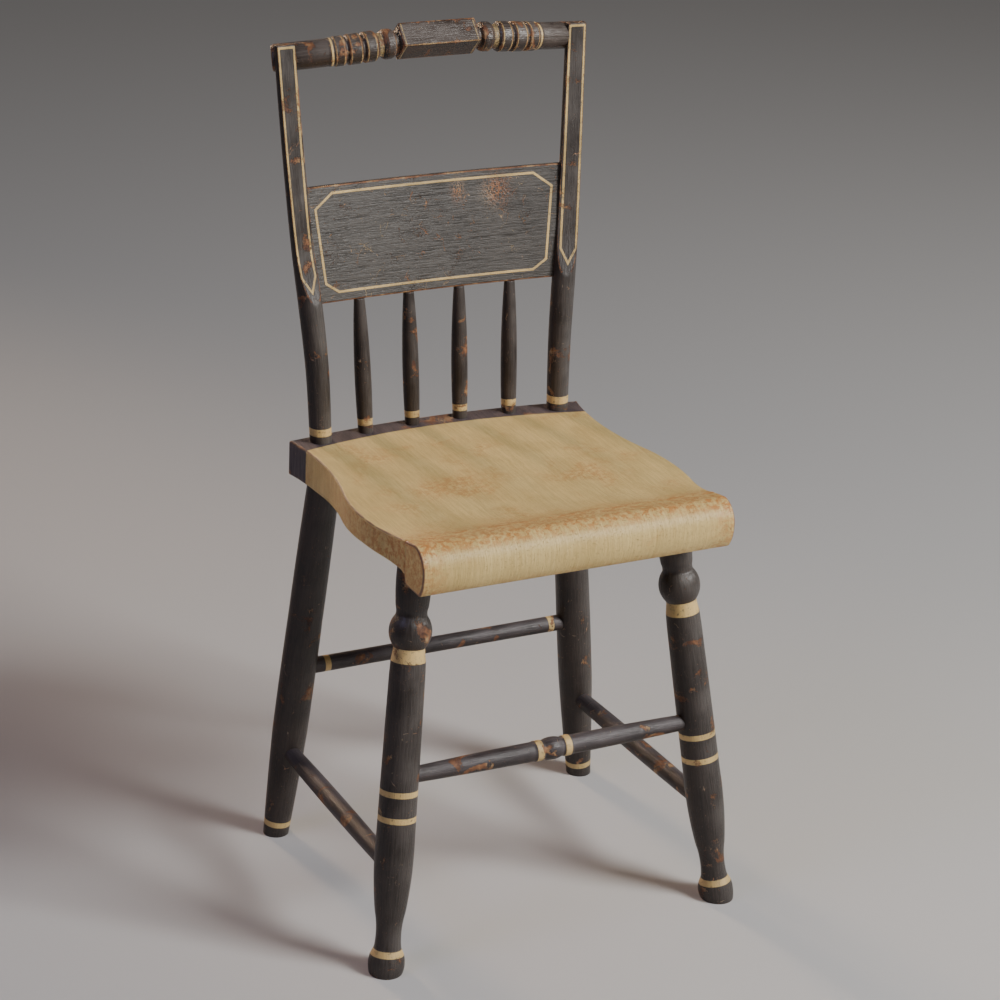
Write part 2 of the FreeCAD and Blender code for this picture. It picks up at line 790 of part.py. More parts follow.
def make_slat(envelopes):
    inset = [(1.0, "slat_tenon_inset")]
    shoulder = [(1.0, "slat_tenon_shoulder")]
    board = bowed_board("slat_board", [], [(1.0, "slat_thickness")], [], [(1.0, "slat_height")],
                        [(-0.5, "post_radius")])
    tongue = bowed_board(
        "slat_tenons", inset, inset + [(1.0, "slat_tenon_thickness")],
        shoulder, [(1.0, "slat_height"), (-1.0, "slat_tenon_shoulder")], [(0.15, "post_radius")])
    scribed = cut("back_slat_scribed", board, envelopes)
    node("back_slat", cut("back_slat", fused("back_slat", [scribed, tongue]), slat_bits))


def slat_pin_line(side):
    """A slat pin's axis: from a post's back forwards, through the middle of the tenon."""
    middle = slat_point(size("slat_low_half"), size("slat_thickness") / 2, size("slat_height") / 2)
    centre, radius = post_at(middle.z)
    inward = radius / 4
    mouth = Vector(centre.x - inward, centre.y + math.sqrt(radius ** 2 - inward ** 2), middle.z)
    tip = mouth + slat_place.Rotation.multVec(Vector(0, -size("slat_pin_length"), 0))
    return to_side(mouth, side), to_side(tip, side)


# Half-height spindles: from the seat up to the slat's bottom edge, fullest near a third
def make_spindle(kind, side_name):
    name = "spindle_%s_%s" % (kind, side_name)
    length = "spindle_%s_length" % kind
    foot, head = spindle_line(kind, SIDES[side_name])
    up = (head - foot).normalize()
    below = [(-1.0, "overrun")]
    above = [(1.0, length), (1.0, "overrun")]
    turning = turned(name + "_turning", [
        ([], below),
        ([(1.0, "spindle_foot_radius")], below),
        ([(1.0, "spindle_foot_radius")], [(0.04, length)]),
        ([(1.0, "spindle_radius")], [(0.36, length)], [(1.0, "spindle_top_radius")], above),
        ([], above),
    ])
    turning.Placement = along(foot, head)
    trimmed = cut(name + "_trimmed", turning, [
        trimming_block(name + "_seat", foot, above=False),
        trimming_block(name + "_slat", head, above=True, turn=slat_place.Rotation)])
    node(name, fused(name, [
        trimmed,
        tenon(name + "_tenon", foot, foot - up, "spindle_tenon_radius", "spindle_tenon_length"),
        tenon(name + "_pin", head, head + up, "spindle_pin_radius", "spindle_pin_length")]))
    seat_bits.append(socket_bit(name + "_socket", foot, foot - up, "spindle_tenon_radius",
                                "spindle_tenon_length"))
    slat_bits.append(socket_bit(name + "_pin_socket", head, head + up, "spindle_pin_radius",
                                "spindle_pin_length"))


# Seat plank: one thick board with a waisted outline. Its top is flat and lifts a little
# where the roll is glued on, and its underside is planed thinner towards the front.
def on_seat(share, *more):
    """A depth on the seat, as a share of it from the roll's joint to the back corners."""
    return [(-1.0, "seat_front_reach"), (share, "seat_depth"), *more]


def seat_side(side):
    """Points of one side of the plank's outline, from its front corner to its back corner."""
    return [
        ([(side * 1.0, "half_neck_width")], on_seat(0.0)),
        ([(side * 1.006, "half_neck_width")], on_seat(0.085)),
        ([(side * 0.974, "half_full_width")], on_seat(0.163)),
        ([(side * 0.998, "half_full_width")], on_seat(0.306)),
        ([(side * 1.064, "half_waist_width")], on_seat(0.503)),
        ([(side * 1.0, "half_waist_width")], on_seat(0.789)),
        ([(side * 1.0, "half_back_width")], on_seat(0.995)),
    ]


def make_seat_plank():
    right, left = seat_side(1), seat_side(-1)
    plan = sawn("seat_plank_plan", "XY_Plane", [
        right[0],
        (*right[1], *right[2]),
        (*right[3], *right[4]),
        (*right[5], *right[6]),
        ([], on_seat(1.0, (1.0, "seat_back_bow")), *left[6]),
        (*left[5], *left[4]),
        (*left[3], *left[2]),
        (*left[1], *left[0]),
    ], "3 * Sizes.seat_height")
    top = [(1.0, "seat_height")]
    thick = [(1.0, "underside_back")]
    thin = [(1.0, "underside_front")]
    past_back = on_seat(1.0, (2.0, "seat_back_bow"))
    side_view = sawn("seat_plank_side_view", "YZ_Plane", [
        (past_back, top),
        (on_seat(0.204), top),
        (on_seat(0.095), top + [(0.25, "seat_front_rise")],
         on_seat(0.0), top + [(1.0, "seat_front_rise")]),
        (on_seat(0.0), thin),
        (on_seat(0.272), thin),
        (on_seat(0.80), thick),
        (past_back, thick),
    ], "2 * Sizes.seat_full_width")
    blank = common("seat_plank", [plan, side_view])
    groove = tongue_block("roll_groove", "Sizes.glue_gap", "Sizes.socket_relief")
    node("seat_plank", cut("seat_plank", blank, seat_bits + [groove]))


# Front roll: a separate moulded piece along the seat's front edge, held by a glued tongue
def tongue_block(label, gap="0", relief="0"):
    """The tongue between roll and plank, or its groove when a gap and a relief are named."""
    box = doc.addObject("Part::Box", label)
    box.setExpression("Length", "2 * (Sizes.half_neck_width - Sizes.tongue_end_margin + %s)" % relief)
    box.setExpression("Width", "2 * (Sizes.tongue_length + %s)" % relief)
    box.setExpression("Height", "Sizes.tongue_thickness + 2 * %s" % gap)
    doc.recompute()
    middle = Vector(0, joint_y, (underside_front + seat_top + size("seat_front_rise")) / 2)
    half = Vector(box.Length.Value / 2, box.Width.Value / 2, box.Height.Value / 2)
    box.Placement = Placement(middle - half, Rotation())
    return box


def in_roll(depth, height):
    """A point of the roll's section, from shares of its depth ahead and its height."""
    return ([(-1.0, "seat_front_reach"), (-depth, "roll_depth")],
            [(1.0, "roll_bottom"), (height, "roll_height")])


def make_front_roll():
    top = ([(-1.0, "seat_front_reach")], [(1.0, "seat_height"), (1.0, "seat_front_rise")])
    foot = ([(-1.0, "seat_front_reach")], [(1.0, "underside_front")])
    moulding = sawn("seat_front_roll_moulding", "YZ_Plane", [
        top,
        (*in_roll(0.28, 0.968), *in_roll(0.50, 1.0)),
        (*in_roll(0.845, 0.86), *in_roll(1.0, 0.49)),
        (*in_roll(0.957, 0.24), *in_roll(0.80, 0.0)),
        in_roll(0.1, 0.0),
        foot,
    ], "Sizes.roll_width")
    doc.recompute()
    pad = moulding.Tip
    ends = ["Face%d" % (number + 1) for number, face in enumerate(pad.Shape.Faces)
            if abs(abs(face.CenterOfMass.x) - size("roll_width") / 2) < size("glue_gap")]
    rounding = moulding.newObject("PartDesign::Fillet", "seat_front_roll_rounding")
    rounding.Base = (pad, ends)
    rounding.setExpression("Radius", "Sizes.roll_end_round")
    node("seat_front_roll", fused("seat_front_roll", [moulding, tongue_block("roll_tongue")]))


# Crest rail: one bent turning behind the tops of the posts, with a square block set corner
# upwards at its middle and three rings to each side, notched where it laps the posts
def crest_arm():
    """Half of the turning, from the rail's middle to its right end, as a ruled loft."""
    rings = []
    for alias, *places in CREST_SHARES:
        for share, swell in places:
            ring = Part.makeCircle(swell * size(alias))
            ring.Placement = along(crest_point(share), crest_point(share) + crest_tangent(share))
            rings.append(Part.Wire([ring]))
    return Part.makeLoft(rings, True, True)


def make_crest_rail():
    half_up = [(1.0, "block_half_diagonal")]
    half_down = [(-1.0, "block_half_diagonal")]
    middle = sawn("crest_block", "YZ_Plane", [
        ([], half_down), (half_up, []), ([], half_up), (half_down, [])], "Sizes.crest_block_length")
    middle.Placement = Placement(crest_point(0), Rotation())
    arm = crest_arm()
    pieces = [middle]
    for side_name, side in SIDES.items():
        piece = doc.addObject("Part::Feature", "crest_arm_" + side_name)
        piece.Shape = arm if side > 0 else arm.mirror(Vector(0, 0, 0), Vector(1, 0, 0))
        pieces.append(piece)
    node("crest_rail", cut("crest_rail", fused("crest_rail", pieces), crest_bits))


for leg_end in ("front", "back"):
    for leg_side in SIDES:
        make_leg(leg_end, leg_side)
make_front_stretcher()
make_plain_stretcher("rear_stretcher", "rear")
for stretcher_side in SIDES:
    make_plain_stretcher("side_stretcher_" + stretcher_side, "side", SIDES[stretcher_side])
slat_mortise = make_slat_mortise()
slat_envelopes = [make_back_post(post_side, slat_mortise) for post_side in SIDES]
for spindle_kind in ("outer", "inner"):
    for spindle_side in SIDES:
        make_spindle(spindle_kind, spindle_side)
make_slat(slat_envelopes)
make_front_roll()
make_seat_plank()
make_crest_rail()

# Wooden pins and pegs, from behind: one through each slat tenon, one through each rail end
for pin_side, pin_sign in SIDES.items():
    node("slat_pin_" + pin_side, rod("slat_pin_" + pin_side, *slat_pin_line(pin_sign),
                                     "Sizes.slat_pin_radius", "Sizes.slat_pin_length"))
    node("crest_peg_" + pin_side, rod("crest_peg_" + pin_side, *peg_line(pin_sign),
                                      "Sizes.crest_peg_radius", "Sizes.crest_peg_length"))

# Every feature is up to date and every sub-part is one sound solid before anything is written
doc.recompute()
for item in doc.Objects:
    if "Invalid" in item.State or "Error" in item.State:
        raise RuntimeError("%s: %s" % (item.Label, item.State))
for item in nodes:
    if item.Shape.isNull() or not item.Shape.isValid() or len(item.Shape.Solids) != 1:
        raise RuntimeError("%s is not one valid solid" % item.Label)
for item in nodes:
    item.Shape.exportStep("parts/%s.step" % item.Label)
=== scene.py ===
import math

import bpy
import numpy as np
from mathutils import Matrix


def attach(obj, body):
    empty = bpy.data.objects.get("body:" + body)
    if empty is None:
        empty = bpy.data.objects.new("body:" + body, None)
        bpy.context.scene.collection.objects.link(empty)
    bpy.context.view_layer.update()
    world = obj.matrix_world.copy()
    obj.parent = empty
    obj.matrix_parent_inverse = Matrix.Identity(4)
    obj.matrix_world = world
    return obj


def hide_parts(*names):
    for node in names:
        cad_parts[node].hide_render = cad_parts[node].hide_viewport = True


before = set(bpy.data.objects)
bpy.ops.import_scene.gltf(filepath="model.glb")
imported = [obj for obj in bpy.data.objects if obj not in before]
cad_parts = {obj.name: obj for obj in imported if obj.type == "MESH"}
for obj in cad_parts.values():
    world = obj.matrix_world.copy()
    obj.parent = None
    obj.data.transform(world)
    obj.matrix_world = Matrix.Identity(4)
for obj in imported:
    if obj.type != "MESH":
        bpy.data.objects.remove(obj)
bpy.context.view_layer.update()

# Seat plank: one thick pine board sawn to a waisted outline, its arrises eased with a plane.
# It is painted a warm cream on top and on its edges, dark along the back where the posts and
# spindles stand in it, and bare brown wood underneath.
SEAT_SIDE = [(172.1, -155.2), ((173.1, -130.2), (176.5, -107.3)), ((180.8, -65.2), (173.4, -7.3)),
             ((163.0, 76.8), (170.1, 137.3))]
SEAT_BACK_MIDDLE = (0.0, 151.8)
SEAT_COLUMN_SPACING = 1.8
SEAT_ARRIS = 2.6
SEAT_TOP = 450.0
SEAT_RISE_START = -95.2
SEAT_FRONT = -155.2
SEAT_FRONT_TOP = 457.0
UNDERSIDE_BACK = 411.5
UNDERSIDE_FRONT = 422.0
UNDERSIDE_SLOPE = (-75.2, 80.0)
DARK_STRIP_MIDDLE = 125.3
DARK_STRIP_CURVE = 20.5
SEAT_MIDDLE = np.array([0.0, -6.2])
RINGS_BELOW, RINGS_ROUND_ARRIS, RINGS_UP_EDGE, RINGS_ON_TOP = 40, 5, 5, 60
ARRIS_RUN_IN = 8.0
MILLIMETRE = 0.001
FAR_FROM_STRIPE = 6.0


def arc(start, via, end, count=28):
    """Points on the circle through three points of a plane, from the first to the last."""
    (ax, ay), (bx, by), (cx, cy) = start, via, end
    twice_area = 2 * (ax * (by - cy) + bx * (cy - ay) + cx * (ay - by))
    a2, b2, c2 = ax * ax + ay * ay, bx * bx + by * by, cx * cx + cy * cy
    mx = (a2 * (by - cy) + b2 * (cy - ay) + c2 * (ay - by)) / twice_area
    my = (a2 * (cx - bx) + b2 * (ax - cx) + c2 * (bx - ax)) / twice_area
    angles = np.unwrap([math.atan2(y - my, x - mx) for x, y in (start, via, end)])
    angle = np.linspace(angles[0], angles[2], count)
    radius = math.hypot(ax - mx, ay - my)
    return np.stack([mx + radius * np.cos(angle), my + radius * np.sin(angle)], axis=1)


def drawn(steps, spacing, closed=False):
    """The line through a list of steps, evenly spaced. A step is a point reached in a straight
    run, or a point on the way and the point where an arc ends."""
    line = [np.array([steps[0]], float)]
    for step in steps[1:]:
        curved = np.ndim(step) == 2
        line.append(arc(line[-1][-1], *step)[1:] if curved else np.array([step], float))
    line = np.concatenate(line + ([line[0]] if closed else []))
    length = np.concatenate([[0], np.cumsum(np.linalg.norm(np.diff(line, axis=0), axis=1))])
    count = max(2, round(length[-1] / spacing) + 1)
    place = np.linspace(0, length[-1], count)
    even = np.stack([np.interp(place, length, line[:, axis]) for axis in range(2)], axis=1)
    return even[:-1] if closed else even


def eased(line, reach, closed=False):
    """The line with its corners rounded: every point is the mean of its neighbours in reach."""
    width = 2 * reach + 1
    padded = np.pad(line, ((reach, reach), (0, 0)), mode="wrap" if closed else "edge")
    running = np.cumsum(np.concatenate([np.zeros((1, 2)), padded]), axis=0)
    smooth = (running[width:] - running[:-width]) / width
    if not closed:
        smooth[0], smooth[-1] = line[0], line[-1]
    return smooth


def skin(name, rows, lay, slot, nodes, material, **marks):
    """A closed piece from a grid of points in millimetres. Rows run along it and columns go
    round it: four-sided faces join neighbouring rows, one face closes each end. `lay` is the
    grid unrolled, in metres, with one column more than the rows so that the seam has no jump.
    Every mark is one number a point, kept as an attribute."""
    count, around = rows.shape[:2]
    index = np.arange(count * around).reshape(count, around)
    after = np.roll(index, -1, axis=1)
    quads = np.stack([index[:-1], after[:-1], after[1:], index[1:]], axis=-1).reshape(-1, 4)
    mesh = bpy.data.meshes.new(name)
    mesh.from_pydata((rows.reshape(-1, 3) * MILLIMETRE).tolist(), [],
                     quads.tolist() + [index[0, ::-1].tolist(), index[-1].tolist()])
    corners = np.stack([lay[:-1, :-1], lay[:-1, 1:], lay[1:, 1:], lay[1:, :-1]], axis=2)
    unrolled = np.concatenate([corners.reshape(-1, 2), lay[0, :-1][::-1], lay[-1, :-1]])
    mesh.uv_layers.new(name="lay").data.foreach_set("uv", unrolled.astype(np.float32).ravel())
    for label, values in marks.items():
        each = np.broadcast_to(values, (count, around)).astype(np.float32)
        mesh.attributes.new(label, "FLOAT", "POINT").data.foreach_set("value", each.ravel())
    mesh.polygons.foreach_set("use_smooth", np.ones(len(mesh.polygons), bool))
    mesh.materials.append(material)
    mesh.update()
    piece = bpy.data.objects.new(name, mesh)
    bpy.context.collection.objects.link(piece)
    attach(piece, "root")
    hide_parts(*nodes)
    return piece


def wire(tree, value, socket):
    """Links a socket to a value that comes from another node, or sets it to a plain value."""
    if isinstance(value, bpy.types.NodeSocket):
        tree.links.new(value, socket)
    else:
        socket.default_value = value


def add(tree, kind, output=0, settings=(), **inputs):
    """Adds a node of a kind with its settings and named inputs, and returns one output."""
    made = tree.nodes.new(kind)
    for key, value in dict(settings).items():
        setattr(made, key, value)
    for label, value in inputs.items():
        wire(tree, value, made.inputs[label.replace("_", " ")])
    return made.outputs[output]


def sums(tree, operation, *values):
    """One step of arithmetic between values or sockets."""
    made = tree.nodes.new("ShaderNodeMath")
    made.operation = operation
    for value, socket in zip(values, made.inputs):
        wire(tree, value, socket)
    return made.outputs[0]


def times(tree, first, second):
    """Two values or sockets multiplied."""
    return sums(tree, "MULTIPLY", first, second)


def weighed(tree, *pairs):
    """The sum of several values, each times its share."""
    parts = [value if share == 1 else times(tree, value, share) for value, share in pairs]
    total = parts[0]
    for part in parts[1:]:
        total = sums(tree, "ADD", total, part)
    return total


def scaled(tree, vector, amounts):
    """A vector with its three parts scaled apart, for a pattern drawn out one way."""
    made = tree.nodes.new("ShaderNodeVectorMath")
    made.operation = "MULTIPLY"
    wire(tree, vector, made.inputs[0])
    made.inputs[1].default_value = amounts
    return made.outputs[0]


def cloud(tree, vector, scale, detail=2.0, roughness=0.5, distortion=0.0):
    """Soft noise between 0 and 1, with a size of one over its scale."""
    return add(tree, "ShaderNodeTexNoise", Vector=vector, Scale=scale, Detail=detail,
               Roughness=roughness, Distortion=distortion)


def rise(tree, value, low, high):
    """0 below one value and 1 above another, with a smooth step between them."""
    made = tree.nodes.new("ShaderNodeMapRange")
    made.interpolation_type = "SMOOTHSTEP"
    wire(tree, value, made.inputs["Value"])
    wire(tree, low, made.inputs["From Min"])
    wire(tree, high, made.inputs["From Max"])
    return made.outputs[0]


def mixed(tree, share, first, second):
    """The first colour turned into the second one by a share between 0 and 1."""
    made = tree.nodes.new("ShaderNodeMix")
    made.data_type = "RGBA"
    wire(tree, share, made.inputs[0])
    for colour, number in ((first, 6), (second, 7)):
        wire(tree, (*colour, 1) if isinstance(colour, tuple) else colour, made.inputs[number])
    return made.outputs[2]


def effect(name, inputs, outputs):
    """An empty node group with named inputs, which have a kind and a usual value, and outputs."""
    tree = bpy.data.node_groups.new(name, "ShaderNodeTree")
    for label, kind, usual in inputs:
        socket = tree.interface.new_socket(label, in_out="INPUT", socket_type="NodeSocket" + kind)
        if usual is not None:
            socket.default_value = usual
    for label, kind in outputs:
        tree.interface.new_socket(label, in_out="OUTPUT", socket_type="NodeSocket" + kind)
    given = tree.nodes.new("NodeGroupInput").outputs
    asked = tree.nodes.new("NodeGroupOutput").inputs
    return tree, given, asked


def placed(tree, group, **inputs):
    """Places an effect in a material with its own values, and returns its outputs."""
    made = tree.nodes.new("ShaderNodeGroup")
    made.node_tree = group
    for label, value in inputs.items():
        wire(tree, value, made.inputs[label.replace("_", " ")])
    return made.outputs


def new_finish(name):
    """A new material, with its node tree and its shader."""
    material = bpy.data.materials.new(name)
    material.use_nodes = True
    tree = material.node_tree
    return material, tree, next(item for item in tree.nodes if item.type == "BSDF_PRINCIPLED")


def own_mark(tree, label):
    """One of the piece's own marks, such as how near a point is to an arris."""
    return add(tree, "ShaderNodeAttribute", "Fac", settings={"attribute_name": label})


# Brush marks and grain: fine streaks drawn out along the piece, over broad uneven patches
HAIR_STREAKS, STRAND_STREAKS = (1250.0, 55.0, 0.0), (420.0, 16.0, 0.0)
brush_marks, given, asked = effect(
    "brush marks", [("Lay", "Vector", None), ("Place", "Vector", None), ("Fineness", "Float", 1.0)],
    [("Streaks", "Float"), ("Patches", "Float")])
fine_lay = add(brush_marks, "ShaderNodeVectorMath", settings={"operation": "SCALE"},
               Vector=given["Lay"], Scale=given["Fineness"])
hair = cloud(brush_marks, scaled(brush_marks, fine_lay, HAIR_STREAKS), 1.0, 3.0, 0.6, 0.3)
strand = cloud(brush_marks, scaled(brush_marks, fine_lay, STRAND_STREAKS), 1.0, 3.0, 0.6, 0.4)
streaks = weighed(brush_marks, (hair, 0.55), (strand, 0.45))
wire(brush_marks, rise(brush_marks, streaks, 0.36, 0.64), asked["Streaks"])
patches = cloud(brush_marks, given["Place"], 28.0, 3.0)
wire(brush_marks, rise(brush_marks, patches, 0.33, 0.67), asked["Patches"])

# Rubbed places: speckled patches, flecks and arrises, where the top coat has worn off the red-brown
# ground coat and the bare yellow wood
GROUND_AND_WOOD = [(0.34, (0.095, 0.036, 0.020)), (0.53, (0.27, 0.115, 0.048)),
                   (0.72, (0.50, 0.34, 0.17))]
rubbed, given, asked = effect(
    "rubbed places", [("Place", "Vector", None), ("Arris", "Float", 0.0), ("Amount", "Float", 0.5),
                      ("Arris amount", "Float", 0.5), ("Size", "Float", 1.0)],
    [("Mask", "Float"), ("Tint", "Color")])
spot = add(rubbed, "ShaderNodeVectorMath", settings={"operation": "SCALE"},
           Vector=given["Place"], Scale=given["Size"])
patch = rise(rubbed, cloud(rubbed, spot, 32.0, 3.0, 0.55, 0.8), 0.53, 0.70)
speckle = cloud(rubbed, spot, 760.0, 4.0, 0.80, 0.3)
ragged = cloud(rubbed, spot, 190.0, 4.0, 0.70, 0.4)
on_patch = times(rubbed, patch, given["Amount"])
on_arris = times(rubbed, given["Arris"], given["Arris amount"])
level = weighed(rubbed, (speckle, 0.68), (ragged, 0.32), (on_patch, 0.26), (on_arris, 0.34))
worn_through = rise(rubbed, level, 0.640, 0.680)
fleck = rise(rubbed, cloud(rubbed, spot, 640.0, 2.0, 0.5), 0.70, 0.74)
wire(rubbed, sums(rubbed, "MAXIMUM", worn_through, fleck), asked["Mask"])
tint = rubbed.nodes.new("ShaderNodeValToRGB")
wire(rubbed, cloud(rubbed, spot, 62.0, 3.0, 0.6), tint.inputs[0])
tint.color_ramp.elements.new(0.5)
for element, (position, colour) in zip(tint.color_ramp.elements, GROUND_AND_WOOD):
    element.position, element.color = position, (*colour, 1)
wire(rubbed, tint.outputs[0], asked["Tint"])

SEAT_CREAM, SEAT_CREAM_SHADE = (0.76, 0.570, 0.240), (0.56, 0.395, 0.145)
SEAT_RUB, SEAT_DIRT, SEAT_ARRIS_LINE = (0.50, 0.175, 0.035), (0.17, 0.080, 0.030), (0.17, 0.075, 0.07)
STRIP_DARK, STRIP_LIGHT = (0.050, 0.038, 0.042), (0.120, 0.094, 0.100)
BARE_DARK, BARE_LIGHT = (0.10, 0.050, 0.024), (0.20, 0.115, 0.058)


def seat_finish(name, with_strip):
    """The seat's cream: fine streaks, a speckle of dirt in the grain, orange where the top coat is
    rubbed thin, a purplish line on the arrises, and the dark strip where 'strip' is above zero."""
    material, tree, shader = new_finish(name)
    lay = add(tree, "ShaderNodeUVMap", settings={"uv_map": "lay"})
    place = add(tree, "ShaderNodeTexCoord", "Object")
    arris = own_mark(tree, "arris")
    marks = placed(tree, brush_marks, Lay=lay, Place=place, Fineness=0.8)
    tone = weighed(tree, (marks["Streaks"], 0.65), (marks["Patches"], 0.35))
    cream = mixed(tree, tone, SEAT_CREAM_SHADE, SEAT_CREAM)
    worn = placed(tree, rubbed, Place=place, Arris=arris, Amount=1.0, Arris_amount=0.5, Size=0.75)
    thin = times(tree, rise(tree, cloud(tree, place, 13.0, 3.0, 0.6, 0.3), 0.50, 0.68),
                rise(tree, cloud(tree, place, 210.0, 5.0, 0.78), 0.42, 0.58))
    handled = times(tree, own_mark(tree, "handled"),
                   rise(tree, cloud(tree, place, 150.0, 5.0, 0.80, 0.3), 0.43, 0.57))
    warm = sums(tree, "MAXIMUM", times(tree, thin, 0.60), times(tree, handled, 0.95))
    warmed = mixed(tree, times(tree, warm, 0.85), cream, SEAT_RUB)
    dirt = rise(tree, cloud(tree, place, 620.0, 4.0, 0.80), 0.58, 0.66)
    dirt_share = times(tree, dirt, sums(tree, "MULTIPLY_ADD", warm, 0.8, 0.38))
    line = rise(tree, weighed(tree, (arris, 1), (cloud(tree, place, 60.0, 3.0), 0.9)), 1.25, 1.42)
    finish = mixed(tree, times(tree, line, 0.75), mixed(tree, dirt_share, warmed, SEAT_DIRT),
                   SEAT_ARRIS_LINE)
    if with_strip:
        strip_edge = weighed(tree, (own_mark(tree, "strip"), 1), (cloud(tree, place, 700.0, 3.0), 1.4))
        dark_coat = mixed(tree, marks["Streaks"], STRIP_DARK, STRIP_LIGHT)
        dark_worn = mixed(tree, times(tree, worn["Mask"], 0.8), dark_coat, worn["Tint"])
        painted = mixed(tree, rise(tree, strip_edge, 0.3, 1.1), finish, dark_worn)
        bare = mixed(tree, marks["Streaks"], BARE_DARK, BARE_LIGHT)
        finish = mixed(tree, rise(tree, own_mark(tree, "under"), 0.35, 0.65), painted, bare)
    wire(tree, finish, shader.inputs["Base Color"])
    rough = sums(tree, "ADD", weighed(tree, (tone, 0.10), (dirt, 0.15)), 0.42)
    wire(tree, rough, shader.inputs["Roughness"])
    height = weighed(tree, (marks["Streaks"], 0.5), (dirt, -0.8))
    relief = add(tree, "ShaderNodeBump", Strength=0.8, Distance=0.0005, Height=height)
    wire(tree, relief, shader.inputs["Normal"])
    return material


def seat_top_height(y):
    """The seat's top: level, and rising along an arc towards the roll."""
    share = np.clip((SEAT_RISE_START - y) / (SEAT_RISE_START - SEAT_FRONT), 0, 1)
    return SEAT_TOP + (SEAT_FRONT_TOP - SEAT_TOP) * share ** 2


def seat_underside(y):
    """The underside: thick at the back, planed thinner towards the front."""
    return np.interp(y, UNDERSIDE_SLOPE, (UNDERSIDE_FRONT, UNDERSIDE_BACK))


def mirrored(steps):
    """The same steps on the left, walked back from their end."""
    flat = [point for step in steps for point in (step if np.ndim(step) == 2 else [step])]
    left = [(-x, y) for x, y in flat[::-1]]
    return [(left[number], left[number + 1]) for number in range(1, len(left) - 1, 2)]


def plank_rows():
    """Loops of the seat's outline, from the underside's middle out, up the edge and in again on
    top. Each loop is the outline set in by the arris, shrunk towards the middle by a share."""
    left_corner = (-SEAT_SIDE[-1][1][0], SEAT_SIDE[-1][1][1])
    steps = SEAT_SIDE + [(SEAT_BACK_MIDDLE, left_corner)] + mirrored(SEAT_SIDE)
    outline = drawn(steps, SEAT_COLUMN_SPACING, closed=True)
    along = np.roll(outline, -1, axis=0) - np.roll(outline, 1, axis=0)
    along = eased(along, 3, closed=True)
    along /= np.linalg.norm(along, axis=1, keepdims=True)
    outward = np.stack([along[:, 1], -along[:, 0]], axis=1)
    from_front = (outline[:, 1] - SEAT_FRONT) / ARRIS_RUN_IN
    arris = SEAT_ARRIS * np.clip(from_front, 0.02, 1)
    turn = np.linspace(0, math.pi / 2, RINGS_ROUND_ARRIS + 1)
    below, edge, above = np.zeros(RINGS_BELOW), np.zeros(RINGS_UP_EDGE), np.zeros(RINGS_ON_TOP)
    inset = np.concatenate([below + 1, 1 - np.sin(turn[1:]), edge, 1 - np.cos(turn), above + 1])
    shrink = np.concatenate([np.linspace(0.01, 1, RINGS_BELOW), np.ones(len(edge) + 2 * len(turn) - 1),
                             np.linspace(1, 0.01, RINGS_ON_TOP + 1)[1:]])
    upper = np.concatenate([below, 0 * turn[1:], np.linspace(0, 1, RINGS_UP_EDGE + 2)[1:-1],
                            0 * turn + 1, above + 1])
    lift = np.concatenate([below, 1 - np.cos(turn[1:]), np.linspace(1, -1, RINGS_UP_EDGE + 2)[1:-1],
                           np.sin(turn) - 1, above])
    flat = outline[None] - outward[None] * (inset[:, None, None] * arris[None, :, None])
    flat = SEAT_MIDDLE + (flat - SEAT_MIDDLE) * shrink[:, None, None]
    low, high = seat_underside(flat[..., 1]), seat_top_height(flat[..., 1])
    z = low + (high - low) * upper[:, None] + lift[:, None] * arris[None]
    rows = np.concatenate([flat, z[..., None]], axis=2)
    bared = np.concatenate([below, 0 * turn[1:] + 0.6, edge, [0.3, 0.7, 1, 1, 0.7, 0.4], above])
    return rows, bared[:, None] * np.clip(from_front, 0, 1)[None], upper


rows, on_arris, upper = plank_rows()
strip = rows[..., 1] - (DARK_STRIP_MIDDLE - DARK_STRIP_CURVE * (rows[..., 0] / 165) ** 2)
on_side = np.abs(np.gradient(rows[..., 2], axis=0)) > 1
lay = np.where(on_side[..., None], rows[..., 1:], rows[..., :2]) * MILLIMETRE
lay = np.concatenate([lay, lay[:, :1]], axis=1)
handled = np.clip(1 - (rows[..., 1] - SEAT_FRONT) / 22, 0, 1) * upper[:, None]
side_handled = np.where(on_side, np.clip(1.1 - (rows[..., 1] - SEAT_FRONT) / 220, 0.15, 1), 0)
skin("seat_plank_painted", rows, lay, "seat_paint", ["seat_plank"],
     seat_finish("seat paint", True), arris=on_arris, strip=strip,
     under=np.where(np.arange(len(upper)) <= RINGS_BELOW, 1.0, 0.0)[:, None],
     handled=np.maximum(handled, side_handled))

# Front roll: a moulding of the same wood run to a rolled section and glued along the seat's front
# edge. Its cream is worn to orange along the top and near its ends, brown on its end arrises.
ROLL_SECTION = [(-155.2, 457.0), ((-167.5, 459.4), (-177.2, 461.0)), ((-192.4, 454.1), (-199.2, 436.0)),
                ((-197.3, 423.8), (-190.4, 412.0)), (-159.6, 412.0), (-155.2, 422.0)]
ROLL_HALF = 172.5
ROLL_END_ROUND = 2.0
ROLL_STATIONS = 150
ROLL_CENTRE = np.array([-175.2, 435.0])


